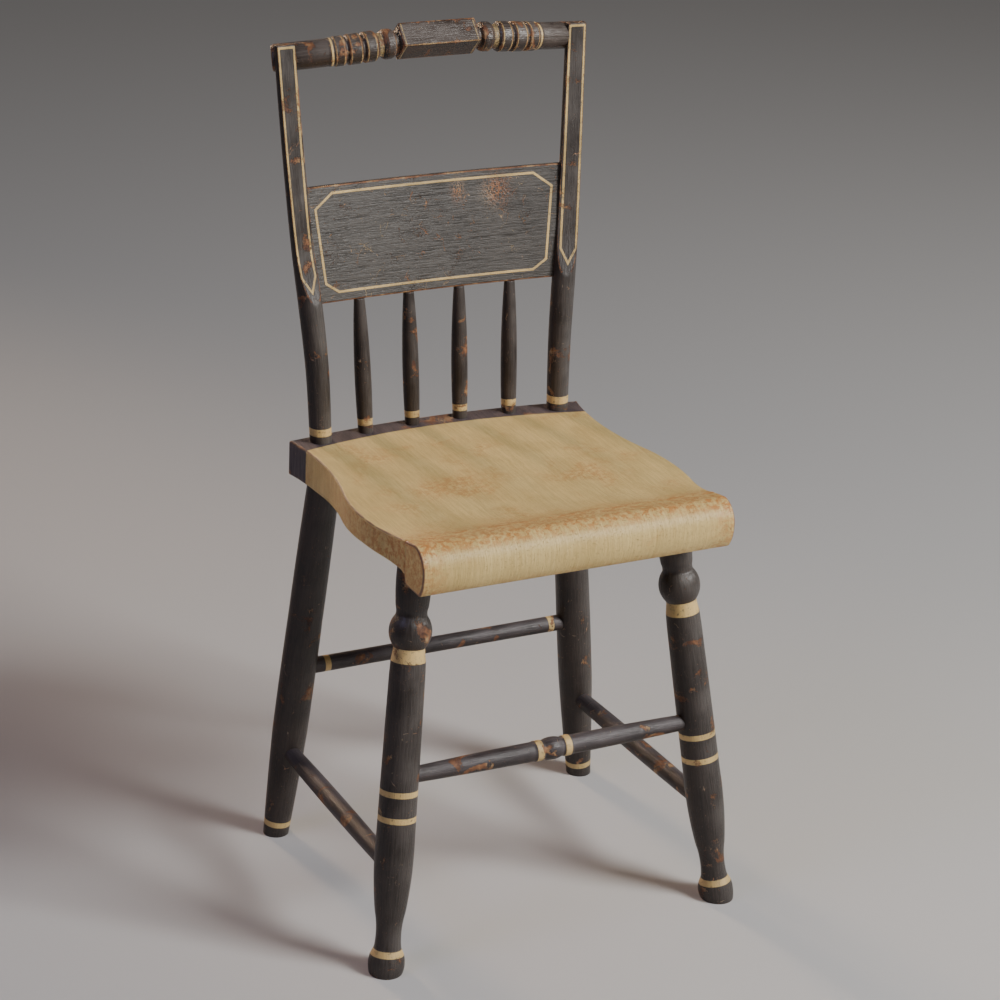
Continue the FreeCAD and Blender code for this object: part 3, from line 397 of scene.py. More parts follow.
def roll_rows():
    """The section carried along x. Near each end it closes in along a quarter circle, and the
    end itself is the section shrunk to its middle."""
    section = eased(drawn(ROLL_SECTION, 1.0, closed=True), 1, closed=True)
    middle = np.linspace(-ROLL_HALF + ROLL_END_ROUND, ROLL_HALF - ROLL_END_ROUND, ROLL_STATIONS)
    turn = np.linspace(0, math.pi / 2, 7)[1:]
    shut = np.linspace(1, 0.02, 12)[1:]
    out = ROLL_HALF - ROLL_END_ROUND + ROLL_END_ROUND * np.sin(turn)
    place = np.append(out, np.full(len(shut), ROLL_HALF))
    inset = np.append(ROLL_END_ROUND * (1 - np.cos(turn)), np.full(len(shut), ROLL_END_ROUND))
    shrink = np.append(np.ones(len(turn)), shut)
    x = np.concatenate([-place[::-1], middle, place])
    inset = np.concatenate([inset[::-1], 0 * middle, inset])
    shrink = np.concatenate([shrink[::-1], 0 * middle + 1, shrink])
    away = section - ROLL_CENTRE
    length = np.linalg.norm(away, axis=1, keepdims=True)
    flat = ROLL_CENTRE + away[None] * ((length - inset[:, None, None]) / length) * shrink[:, None, None]
    rows = np.concatenate([np.broadcast_to(x[:, None, None], (*flat.shape[:2], 1)), flat], axis=2)
    end_arris = (shrink > 0.99) & (np.abs(x) > middle[-1])
    return rows, section, end_arris, shrink


rows, section, end_arris, shrink = roll_rows()
round_length = np.arange(len(section) + 1) * 1.0
lay = np.stack(np.broadcast_arrays(rows[:, :1, 0], round_length[None]), axis=2) * MILLIMETRE
top_wear = np.clip(1 - np.abs(section[:, 1] - 460) / 9, 0, 1) * (section[:, 0] > -193.2)
low_wear = np.clip(1 - np.abs(section[:, 1] - 413) / 9, 0, 1) * (section[:, 0] < -181.2)
end_wear = np.clip(1 - (ROLL_HALF - np.abs(rows[..., 0])) / 34, 0, 1)
handled = np.clip(0.95 * top_wear[None] + 0.5 * low_wear[None] + 0.75 * end_wear, 0, 1)
handled = np.where(shrink[:, None] < 0.99, 0.8, handled)
skin("front_roll_painted", rows, lay, "roll_paint", ["seat_front_roll"],
     seat_finish("roll paint", False), arris=end_arris[:, None], handled=handled)

# Legs: maple turnings, splayed outwards. The front pair has a flared foot, a long swell, a cream
# cove and a bead below the seat; the back pair is a plain long taper. Black-brown paint, worn to
# red-brown in patches, with cream rings.
FRONT_FOOT, FRONT_TOP = (193.4, -189.2, 0.0), (143.8, -121.3, 422.0)
BACK_FOOT, BACK_TOP = (187.5, 114.4, 0.0), (143.8, 104.9, 411.5)
FRONT_LEG_STEPS = [(17.4, 0), ((18.6, .0166), (17.2, .0427)), (13.9, .0592),
                   ((13.0, .0853), (15.6, .147)), ((18.9, .2227), (19.6, .332)),
                   ((19.2, .474), (18.1, .7227)), (17.6, .7536), ((16.3, .7725), (15.7, .7867)),
                   ((21.5, .8294), (16.0, .8614)), ((15.5, .8697), (16.4, .8815)),
                   ((17.7, .924), (16.8, 1.0)), (16.7, 1.008)]
BACK_LEG_STEPS = [(13.9, 0), (13.9, .002), (14.5, .035), ((17.2, .18), (18.9, .30)),
                  ((19.1, .42), (18.6, .62)), ((18.3, .80), (17.2, 1.0)), (17.1, 1.008)]
FRONT_LEG_STRIPES = [(21.4, 3.1), (163.2, 3.0), (190.2, 3.0), (331.5, 7.0)]
BACK_LEG_STRIPES = [(14.6, 3.2)]
SLANTED_END_RUN, CAP_RINGS = 13.0, 5


def convexity(line):
    """How sharply a line bulges at each point, from 0 to 1: a radius of 3 mm or less gives 1."""
    step = np.gradient(line, axis=0)
    angle = np.unwrap(np.arctan2(step[:, 1], step[:, 0]))
    bend = np.gradient(angle) / np.maximum(np.linalg.norm(step, axis=1), 0.01)
    return np.clip(bend * 3, 0, 1)


def turning(foot, head, steps, stripes, spacing, around, foot_plane=None, head_plane=None, ease=1):
    """A profile spun round the line from foot to head. The steps are radii and shares of that
    length. Near a plane that cuts an end aslant, points slide along the axis onto it."""
    foot, head = np.array(foot, float), np.array(head, float)
    length = np.linalg.norm(head - foot)
    axis = (head - foot) / length
    metric = [(np.array(step) * [1, length]).tolist() for step in steps]
    profile = eased(drawn(metric, spacing), ease)
    caps = np.linspace(0.03, 0.97, CAP_RINGS)[:, None]
    profile = np.concatenate([profile[:1] * np.hstack([caps, np.ones_like(caps)]), profile,
                              profile[-1:] * np.hstack([caps[::-1], np.ones_like(caps)])])
    bulge = convexity(profile[:, ::-1] * [1, -1])
    behind = np.array([0.0, 1.0, 0.0]) if abs(axis[1]) < 0.8 else np.array([0.0, 0.0, -1.0])
    first = behind - axis * (behind @ axis)
    first /= np.linalg.norm(first)
    second = np.cross(axis, first)
    angle = np.arange(around + 1) / around * 2 * math.pi
    spoke = np.cos(angle)[:-1, None] * first + np.sin(angle)[:-1, None] * second
    along = np.broadcast_to(profile[:, 1:], (len(profile), around)).copy()
    for plane, end, way in ((foot_plane, 0.0, 1), (head_plane, profile[-1, 1], -1)):
        if plane is not None:
            slide = -profile[:, :1] * (spoke @ np.array(plane)) / (axis @ np.array(plane))
            along += slide * np.clip(1 - way * (profile[:, 1:] - end) / SLANTED_END_RUN, 0, 1)
    rows = foot + along[..., None] * axis + profile[:, :1, None] * spoke[None]
    mean_radius = profile[:, 0].mean()
    lay = np.stack(np.broadcast_arrays(angle[None] * mean_radius, profile[:, 1:]), axis=2) * MILLIMETRE
    stripe = np.full(len(profile), FAR_FROM_STRIPE)
    for centre, half in stripes:
        stripe = np.minimum(stripe, np.abs(profile[:, 1] - centre) - half)
    return rows, lay, {"arris": bulge[:, None], "stripe": stripe[:, None]}


def other_side(point, side):
    """The point itself, or its mirror image on the left where the side is -1."""
    return (side * point[0], point[1], point[2])


# Crackle: thin broken cracks in the old varnish that show the pale ground
CRACK_WANDER = (0.012, 0.012, 0.012)
crackle, given, asked = effect(
    "crackle", [("Place", "Vector", None), ("Scale", "Float", 60.0), ("Width", "Float", 0.012),
                ("Spread", "Float", 0.5)], [("Mask", "Float")])
warp = add(crackle, "ShaderNodeTexNoise", 1, Vector=given["Place"], Scale=70.0, Detail=3.0)
bent = crackle.nodes.new("ShaderNodeVectorMath")
bent.operation = "MULTIPLY_ADD"
for value, socket in zip((warp, CRACK_WANDER, given["Place"]), bent.inputs):
    wire(crackle, value, socket)
from_crack = add(crackle, "ShaderNodeTexVoronoi", settings={"feature": "DISTANCE_TO_EDGE"},
                 Vector=bent.outputs[0], Scale=given["Scale"])
thin = sums(crackle, "SUBTRACT", 1.0, rise(crackle, from_crack, 0.0, given["Width"]))
where = cloud(crackle, given["Place"], 52.0, 4.0, 0.6, 0.8)
broken = rise(crackle, weighed(crackle, (where, 1), (given["Spread"], 0.2)), 0.68, 0.74)
wire(crackle, times(crackle, thin, broken), asked["Mask"])

# A painted line: cream laid by a striping brush, its edge a little ragged and worn thin in places
painted_line, given, asked = effect(
    "painted line", [("Distance", "Float", 1.0), ("Place", "Vector", None), ("Wear", "Float", 0.3)],
    [("Mask", "Float")])
ragged = cloud(painted_line, given["Place"], 900.0, 3.0, 0.6)
past = rise(painted_line, weighed(painted_line, (given["Distance"], 1), (ragged, 0.9)), 0.23, 0.67)
patchy = cloud(painted_line, given["Place"], 260.0, 5.0, 0.7)
thinned = rise(painted_line, weighed(painted_line, (patchy, 1), (given["Wear"], 0.25)), 0.62, 0.78)
left_of_it = sums(painted_line, "SUBTRACT", 1.0, times(painted_line, thinned, 0.75))
within = sums(painted_line, "SUBTRACT", 1.0, past)
wire(painted_line, times(painted_line, within, left_of_it), asked["Mask"])

CREAM_LINE, CREAM_SHADE = (0.72, 0.51, 0.215), (0.5184, 0.3672, 0.1548)
CRACK_RED, CRACK_PALE = (0.42, 0.18, 0.08), (0.60, 0.46, 0.28)
# Painted shade: shares of the dark and light tones on faces that look down or to the left, away from the
# key lamp
PAINTED_SHADE_DARK, PAINTED_SHADE_LIGHT = (0.45, 0.45, 0.45), (0.36, 0.24, 0.18)


def paint(name, dark, light, rub, rub_on_arris, rub_size, cracks, line_wear, rough, streak_depth=0.5):
    """An aged coat of brushed paint: two tones in its brush marks, painted shade that turns faces looking
    down or left dark brown and painted light that keeps faces looking up or right grey, cream lines where
    the piece's 'stripe' attribute is below zero, crackle, crazing by 'crazed', and rubbed places on patches
    and arrises."""
    material, tree, shader = new_finish(name)
    lay = add(tree, "ShaderNodeUVMap", settings={"uv_map": "lay"})
    place = add(tree, "ShaderNodeTexCoord", "Object")
    marks = placed(tree, brush_marks, Lay=lay, Place=place, Fineness=1.0)
    tone = weighed(tree, (marks["Streaks"], streak_depth), (marks["Patches"], 1 - streak_depth))
    # Painted light and shade: faces looking up or right, towards the key lamp, keep the grey coat; faces
    # looking down or left are painted darker brown
    facing = tree.nodes.new("ShaderNodeSeparateXYZ")
    wire(tree, add(tree, "ShaderNodeNewGeometry", "Normal"), facing.inputs[0])
    toward_key_light = weighed(tree, (facing.outputs["Z"], 1), (facing.outputs["X"], 0.4))
    painted_shade_coat = mixed(tree, tone, tuple(a * b for a, b in zip(PAINTED_SHADE_DARK, dark)),
                    tuple(a * b for a, b in zip(PAINTED_SHADE_LIGHT, light)))
    coat = mixed(tree, rise(tree, toward_key_light, -0.55, 0.45), painted_shade_coat, mixed(tree, tone, dark, light))
    stripe = own_mark(tree, "stripe")
    line = placed(tree, painted_line, Distance=stripe, Place=place, Wear=line_wear)["Mask"]
    striped = mixed(tree, line, coat, mixed(tree, marks["Patches"], CREAM_SHADE, CREAM_LINE))
    wide = placed(tree, crackle, Place=place, Scale=46.0, Width=0.015, Spread=cracks)["Mask"]
    fine = placed(tree, crackle, Place=place, Scale=210.0, Width=0.05, Spread=cracks - 0.35)["Mask"]
    web = placed(tree, crackle, Place=place, Scale=300.0, Width=0.20, Spread=3.0)["Mask"]
    crack = sums(tree, "MAXIMUM", wide, times(tree, fine, 0.8))
    crack = sums(tree, "MAXIMUM", crack, times(tree, web, own_mark(tree, "crazed")))
    worn = placed(tree, rubbed, Place=place, Arris=own_mark(tree, "arris"), Amount=rub,
                  Arris_amount=rub_on_arris, Size=rub_size)
    cracked = mixed(tree, times(tree, crack, 0.92), striped,
                    mixed(tree, marks["Patches"], CRACK_RED, CRACK_PALE))
    finish = mixed(tree, times(tree, worn["Mask"], 0.9), cracked, worn["Tint"])
    wire(tree, finish, shader.inputs["Base Color"])
    rougher = weighed(tree, (worn["Mask"], 0.2), (tone, 0.14))
    wire(tree, sums(tree, "ADD", rougher, rough), shader.inputs["Roughness"])
    hollow = sums(tree, "MAXIMUM", worn["Mask"], crack)
    height = weighed(tree, (marks["Streaks"], 0.35), (line, 0.35), (hollow, -0.8))
    relief = add(tree, "ShaderNodeBump", Strength=0.85, Distance=0.0006, Height=height)
    wire(tree, relief, shader.inputs["Normal"])
    return material


LEVEL = (0.0, 0.0, 1.0)
SIDES = {"left": -1, "right": 1}
LEGS = {"front": (FRONT_FOOT, FRONT_TOP, FRONT_LEG_STEPS, FRONT_LEG_STRIPES, 0.9, 72),
        "back": (BACK_FOOT, BACK_TOP, BACK_LEG_STEPS, BACK_LEG_STRIPES, 1.6, 64)}
leg_paint = paint("leg paint", (0.024, 0.017, 0.014), (0.100, 0.088, 0.081), rub=0.78,
                  rub_on_arris=0.35, rub_size=1.1, cracks=0.30, line_wear=0.3, rough=0.32)
for side_name, side in SIDES.items():
    for kind, (foot, head, *shape) in LEGS.items():
        name = "%s_leg_%s" % (kind, side_name)
        rows, lay, marks = turning(other_side(foot, side), other_side(head, side), *shape, foot_plane=LEVEL)
        skin(name + "_turned", rows, lay, "leg_paint", [name], leg_paint, **marks)

# Stretchers: slim turnings driven into the legs. The front one swells towards a ball between two
# raised cream rings; the rear one has a cream ring near each end. Their dark coat has a painted
# highlight of grey on top and painted shade below, and is rubbed through in patches to cream and orange.
SIDE_STRETCHER_HEIGHTS = (101.5, 105.5)
FRONT_STEPS = [(8.4, 0.0), (8.4, 0.07), ((9.75, 0.27), (10.1, 0.438)), (10.8, 0.441),
               (10.8, 0.4645), (9.6, 0.469), ((11.8, 0.5), (9.6, 0.531)), (10.8, 0.5355),
               (10.8, 0.559), (10.1, 0.562), ((9.75, 0.73), (8.4, 0.93)), (8.4, 1.0)]
REAR_STEPS = [(8.8, 0), (8.8, .08), ((8.6, .5), (8.8, .92)), (8.8, 1)]
SIDE_STEPS = [(8.8, 0), (8.8, .05), ((10.0, .5), (8.8, .95)), (8.8, 1)]
STRETCHER_END_RUN = 4.0


def leg_at(foot, head, height):
    """The point of a leg's axis at a height above the floor."""
    foot, head = np.array(foot), np.array(head)
    return foot + (head - foot) * (height - foot[2]) / (head[2] - foot[2])


def between(start, end):
    """A stretcher's ends: the leg axes' points, run on a little so that the joint has no gap."""
    way = (end - start) / np.linalg.norm(end - start)
    return start - way * STRETCHER_END_RUN, end + way * STRETCHER_END_RUN


stretcher_paint = paint("stretcher paint", (0.030, 0.024, 0.025), (0.110, 0.095, 0.100), rub=1.15,
                        rub_on_arris=0.5, rub_size=1.25, cracks=0.35, line_wear=0.3, rough=0.36)
for name, foot, head, height, steps, ring_out, ring_half, spacing, around in (
        ("front_stretcher", FRONT_FOOT, FRONT_TOP, 199.8, FRONT_STEPS, 16.0, 3.6, 0.9, 56),
        ("rear_stretcher", BACK_FOOT, BACK_TOP, 197.8, REAR_STEPS, 134.8, 3.3, 2.0, 48)):
    right_end = leg_at(foot, head, height)
    start, end = between(right_end * [-1, 1, 1], right_end)
    middle = np.linalg.norm(end - start) / 2
    rings = [(middle - ring_out, ring_half), (middle + ring_out, ring_half)]
    rows, lay, marks = turning(start, end, steps, rings, spacing, around)
    skin(name + "_turned", rows, lay, "stretcher_paint", [name], stretcher_paint, **marks)
for side_name, side in SIDES.items():
    start = leg_at(BACK_FOOT, BACK_TOP, SIDE_STRETCHER_HEIGHTS[0]) * [side, 1, 1]
    end = leg_at(FRONT_FOOT, FRONT_TOP, SIDE_STRETCHER_HEIGHTS[1]) * [side, 1, 1]
    rows, lay, marks = turning(*between(start, end), SIDE_STEPS, [], 2.0, 48)
    skin("side_stretcher_%s_turned" % side_name, rows, lay, "stretcher_paint",
         ["side_stretcher_" + side_name], stretcher_paint, **marks)

# Back posts: round where they stand in the seat, bent back and outwards, shaved flat in front above
# the spindles and thinned behind the crest rail. Each flat has a long cream panel with a pointed foot.
POST_FOOT = np.array([139.3, 125.6, 450.0])
POST_HEIGHT, POST_SPREAD, POST_RAKE, POST_RADIUS = 411.0, 26.2, 53.2, 12.4
POST_STATIONS = np.array([(0.0, 0.0, 0.0, 0.935), (0.195, 0.103, 0.149, 0.99),
                          (0.341, 0.288, 0.291, 1.015), (0.487, 0.516, 0.464, 0.96),
                          (0.657, 0.7025, 0.6534, 0.925), (0.827, 0.858, 0.831, 0.895),
                          (1.0, 1.0, 1.0, 0.87)])
POST_FLATS = np.array([(0.0, -3.0, 1.0), (0.30, -0.9, 1.0), (0.345, -0.2, 1.0), (0.387, 0.40, 1.0),
                       (0.426, 0.74, 1.0), (0.462, 0.93, 1.0), (0.50, 1.0, 0.97), (0.657, 0.95, 0.67),
                       (0.827, 0.88, 0.34), (1.0, 0.79, 0.0)])
FLAT_DEPTH, FLAT_LEAST_TURN, FLAT_MOST_TURN = 8.2, 3.0, 14.0
BACK_FLAT_START, TOP_THICKNESS = 0.645, 9.0
PANEL_HALF, PANEL_LINE, PANEL_TOP, PANEL_SHOULDER, PANEL_TIP = 8.5, 1.15, 858.6, 626.0, 610.6
POST_RING_HEIGHT, POST_RING_HALF, POST_MEAN_RADIUS = 462.0, 4.0, 11.5


def through(stations, place):
    """A smooth curve through a table's rows by their first number: cubic runs between them that
    share their slopes."""
    at, values = stations[:, 0], stations[:, 1:]
    slopes = np.gradient(values, at, axis=0)
    low = np.clip(np.searchsorted(at, place) - 1, 0, len(at) - 2)
    width = (at[low + 1] - at[low])[:, None]
    t = ((place - at[low])[:, None] / width)
    return ((2 * t ** 3 - 3 * t ** 2 + 1) * values[low] + (t ** 3 - 2 * t ** 2 + t) * width * slopes[low]
            + (3 * t ** 2 - 2 * t ** 3) * values[low + 1] + (t ** 3 - t ** 2) * width * slopes[low + 1])


def least(first, second, blend_width):
    """The smaller of two lengths, with a rounded corner where they cross."""
    return -blend_width * np.logaddexp(-first / blend_width, -second / blend_width)


def post_rows(side):
    """Level sections of the right post, turned over for the left: a circle cut by the front flat
    and by the back flat, with the arrises a little rounded."""
    shut = np.append(np.ones(330), np.linspace(0.975, 0.02, 12))
    height = np.where(shut < 1, POST_HEIGHT, 0.0)
    height[shut == 1] = np.linspace(-4, POST_HEIGHT - 0.7, 330)
    share = np.clip(height / POST_HEIGHT, 0, 1)
    out, back, radius = through(POST_STATIONS, share).T
    centre = POST_FOOT + np.stack([POST_SPREAD * out, POST_RAKE * back, height], axis=1)
    radius = radius * POST_RADIUS
    taken, turned = (np.interp(share, POST_FLATS[:, 0], POST_FLATS[:, column]) for column in (1, 2))
    taken = np.convolve(np.pad(taken, 8, mode="edge"), np.ones(17) / 17, mode="valid")
    turn = np.radians(FLAT_LEAST_TURN + turned * (FLAT_MOST_TURN - FLAT_LEAST_TURN))
    flat = radius - taken * FLAT_DEPTH
    _, low_back, low_radius = through(POST_STATIONS, np.array([BACK_FLAT_START]))[0]
    low_y = POST_FOOT[1] + POST_RAKE * low_back + low_radius * POST_RADIUS
    top_y = centre[-1, 1] + TOP_THICKNESS - flat[-1]
    rear = low_y + (top_y - low_y) * (share - BACK_FLAT_START) / (1 - BACK_FLAT_START) - centre[:, 1]
    rear = np.where(share > BACK_FLAT_START - 0.02, rear, 4 * POST_RADIUS)
    around = 168
    angle = np.arange(around) / around * 2 * math.pi + math.pi / 2
    front_way = -math.pi / 2 - turn
    facing = np.cos(angle[None] - front_way[:, None])
    backing = np.sin(angle)[None]
    to_flat = flat[:, None] / np.maximum(facing, 0.05)
    to_rear = rear[:, None] / np.maximum(backing, 0.05)
    reach = least(np.broadcast_to(radius[:, None], to_flat.shape), to_flat, 0.25)
    reach = least(reach, to_rear, 0.25)
    close = np.minimum(np.abs(to_flat - radius[:, None]), np.abs(to_rear - radius[:, None]))
    arris = np.clip(1.1 - close, 0, 1) * (share[:, None] > 0.37)
    arris = np.where(shut[:, None] < 1, 0.6, arris)
    reach = reach * shut[:, None]
    rows = np.stack([centre[:, :1] + reach * np.cos(angle), centre[:, 1:2] + reach * np.sin(angle),
                     np.broadcast_to(centre[:, 2:], reach.shape)], axis=2)
    outward = (rows[..., 0] - centre[:, :1]) * np.cos(turn)[:, None] - (
        rows[..., 1] - centre[:, 1:2]) * np.sin(turn)[:, None]
    shift = 1.3 * np.clip(1 - (centre[:, 2] - 650) / 210, 0, 1)
    across = np.abs(outward - shift[:, None])
    z = rows[..., 2]
    foot_run = PANEL_SHOULDER - PANEL_TIP
    foot_line = (across * foot_run - (z - PANEL_TIP) * PANEL_HALF) / math.hypot(foot_run, PANEL_HALF)
    panel = np.abs(np.maximum(np.maximum(across - PANEL_HALF, z - PANEL_TOP), foot_line)) - PANEL_LINE
    stripe = np.where(facing > 0.15, panel, FAR_FROM_STRIPE)
    stripe = np.minimum(stripe, np.abs(z - POST_RING_HEIGHT) - POST_RING_HALF)
    run = np.append(angle, angle[0] + 2 * math.pi)[None] * POST_MEAN_RADIUS
    lay = np.stack(np.broadcast_arrays(run, centre[:, 2:]), axis=2) * MILLIMETRE
    if side < 0:
        rows, stripe, arris = rows[:, ::-1] * [-1, 1, 1], stripe[:, ::-1], arris[:, ::-1]
    return rows, lay, {"arris": arris, "stripe": stripe}


post_paint = paint("post paint", (0.032, 0.025, 0.022), (0.118, 0.107, 0.100), rub=0.80,
                   rub_on_arris=0.75, rub_size=1.2, cracks=0.25, line_wear=0.35, rough=0.34)
for side_name, side in SIDES.items():
    rows, lay, marks = post_rows(side)
    skin("back_post_%s_shaved" % side_name, rows, lay, "post_paint", ["back_post_" + side_name],
         post_paint, **marks)

# Spindles: four slim turnings, half height, from the seat up into the slat's bottom edge, with a
# cream ring near the foot. They stand on the seat's dark strip.
SLAT_ORIGIN = np.array([0.0, 151.73, 593.03])
SLAT_LEAN = math.radians(9.8)
SLAT_UP = np.array([0.0, math.sin(SLAT_LEAN), math.cos(SLAT_LEAN)])
SLAT_BACKWARD = np.array([0.0, math.cos(SLAT_LEAN), -math.sin(SLAT_LEAN)])
SLAT_BOW_RADIUS, SLAT_THICKNESS, SLAT_HEIGHT = 1010.0, 9.0, 121.2
SPINDLES = {"inner": ((28.1, 138.1, 450.0), 29.4), "outer": ((84.4, 134.0, 450.0), 87.6)}
SPINDLE_STEPS = [(7.9, -0.02), (7.9, .04), ((8.8, .36), (5.6, 1.0))]
SPINDLE_STRIPES = [(11.5, 3.5)]


def slat_sag(across):
    """How far the bowed face has come forward at a distance from its middle."""
    return SLAT_BOW_RADIUS - np.sqrt(SLAT_BOW_RADIUS ** 2 - across ** 2)


spindle_paint = paint("spindle paint", (0.028, 0.021, 0.019), (0.098, 0.084, 0.076), rub=0.95,
                      rub_on_arris=0.4, rub_size=1.3, cracks=0.25, line_wear=0.3, rough=0.33)
for kind, (foot, top_out) in SPINDLES.items():
    for side_name, side in SIDES.items():
        set_back = SLAT_THICKNESS / 2 - slat_sag(top_out)
        head = SLAT_ORIGIN + [side * top_out, 0, 0] + SLAT_BACKWARD * set_back
        rows, lay, marks = turning(other_side(foot, side), head, SPINDLE_STEPS, SPINDLE_STRIPES,
                                   1.5, 48, head_plane=SLAT_UP)
        name = "spindle_%s_%s" % (kind, side_name)
        skin(name + "_turned", rows, lay, "spindle_paint", [name], spindle_paint, **marks)

# Lower back slat: a thin wide board, bowed, tenoned into the posts and leaning with them. Its front
# has an eight-sided cream line. The paint shows the brush along the board and has crackled.
SLAT_LOW_HALF, SLAT_HIGH_HALF = 138.8, 150.0
SLAT_STATIONS = 190
OCTAGON = [(0.0, 113.2), (116.1, 113.2), (136.2, 98.1), (127.7, 20.1), (112.7, 10.1), (0.0, 10.1)]
OCTAGON_LINE = 1.25
SLAT_CRAZING = [(30.0, 102.0, 6.0, 10.0), (73.0, 98.0, 13.0, 13.0)]


def slat_rows():
    """A rounded oblong section carried from end to end, each point at a share of its own half
    width, then bowed and leaned back."""
    section = eased(drawn([(0, 0), (SLAT_THICKNESS, 0), (SLAT_THICKNESS, SLAT_HEIGHT), (0, SLAT_HEIGHT)],
                          1.0, closed=True), 1, closed=True)
    cap = np.linspace(0.02, 0.9, 8)
    share = np.concatenate([0 * cap - 1, np.linspace(-1, 1, SLAT_STATIONS), 0 * cap + 1])
    shut = np.concatenate([cap, np.ones(SLAT_STATIONS), cap[::-1]])
    centre = np.array([SLAT_THICKNESS / 2, SLAT_HEIGHT / 2])
    flat = centre + (section - centre)[None] * shut[:, None, None]
    depth, up = flat[..., 0], flat[..., 1]
    half = SLAT_LOW_HALF + (SLAT_HIGH_HALF - SLAT_LOW_HALF) * up / SLAT_HEIGHT
    across = share[:, None] * half
    rows = (SLAT_ORIGIN + across[..., None] * [1, 0, 0] + up[..., None] * SLAT_UP
            + (depth - slat_sag(across))[..., None] * SLAT_BACKWARD)
    corners = np.array(OCTAGON)
    run = np.diff(corners, axis=0)
    normal = np.stack([-run[:, 1], run[:, 0]], axis=1) / np.linalg.norm(run, axis=1, keepdims=True)
    point = np.stack([np.abs(across), up], axis=2)
    inside = np.max(point @ normal.T - np.sum(normal * corners[:-1], axis=1), axis=2)
    stripe = np.where(depth < 0.6, np.abs(inside) - OCTAGON_LINE, FAR_FROM_STRIPE)
    corner = np.hypot(np.minimum(section[:, 0], SLAT_THICKNESS - section[:, 0]),
                      np.minimum(section[:, 1], SLAT_HEIGHT - section[:, 1]))
    arris = np.clip(1.5 - corner / 1.4, 0, 1)
    crazed = sum(np.exp(-((across - out) / half_wide) ** 2 - ((up - high) / half_high) ** 2)
                 for out, high, half_wide, half_high in SLAT_CRAZING)
    lay = np.stack(np.broadcast_arrays(np.arange(len(section) + 1)[None] * 1.0, across[:, :1]), axis=2)
    return rows, lay * MILLIMETRE, {"arris": arris[None], "stripe": stripe,
                                    "crazed": np.where(depth < 0.6, crazed, 0)}


slat_paint = paint("slat paint", (0.036, 0.032, 0.029), (0.116, 0.109, 0.101), rub=0.42, rub_on_arris=0.95,
                   rub_size=1.2, cracks=0.66, line_wear=0.15, rough=0.33, streak_depth=0.80)
rows, lay, marks = slat_rows()
skin("back_slat_bowed", rows, lay, "slat_paint", ["back_slat"], slat_paint, **marks)

# Crest rail: one bent turning behind the tops of the posts. A square block set corner upwards is
# its hand grip, with a bulb and three rings to each side. Cream lines run along the ring edges,
# round the block's ends and along its front corner, and a cove has a thin golden coat.
CREST_HALF = 171.9
CREST_Y, CREST_SWEEP, CREST_Z, CREST_DROP = 173.67, 21.2, 856.75, 13.3
CREST_BEND_START, CREST_SWEEP_POWER, CREST_DROP_POWER = 0.40, 2.1, 1.71
CREST_PROFILE = np.array([
    (0.0, 10.6), (0.279, 10.6), (0.2875, 14.26), (0.305, 15.35), (0.340, 15.35), (0.3575, 13.8),
    (0.3634, 12.03), (0.3922, 12.6), (0.4042, 15.0), (0.4128, 15.7), (0.4712, 15.7), (0.477, 14.96),
    (0.481, 13.2), (0.4916, 13.2), (0.4974, 14.96), (0.5033, 15.65), (0.5703, 15.65), (0.576, 14.96),
    (0.580, 13.2), (0.5907, 13.2), (0.5965, 14.8), (0.6024, 15.3), (0.655, 15.3), (0.6607, 14.3),
    (0.684, 14.6), (0.690, 14.16), (0.817, 14.3), (0.940, 14.2), (0.985, 14.13), (1.0, 12.8)])
CREST_LINES = [(0.415, 0.6), (0.469, 0.7), (0.506, 0.6), (0.568, 0.7), (0.605, 0.6), (0.653, 0.6),
               (0.6735, 1.0)]
COVE_PLACE, COVE_HALF, COVE_COAT_EDGE = 0.3778, 2.9, 0.04
BLOCK_HALF, BLOCK_DIAGONAL, BLOCK_LINE_IN = 43.3, 19.1, 2.4
CREST_MEAN_RADIUS = 14.5


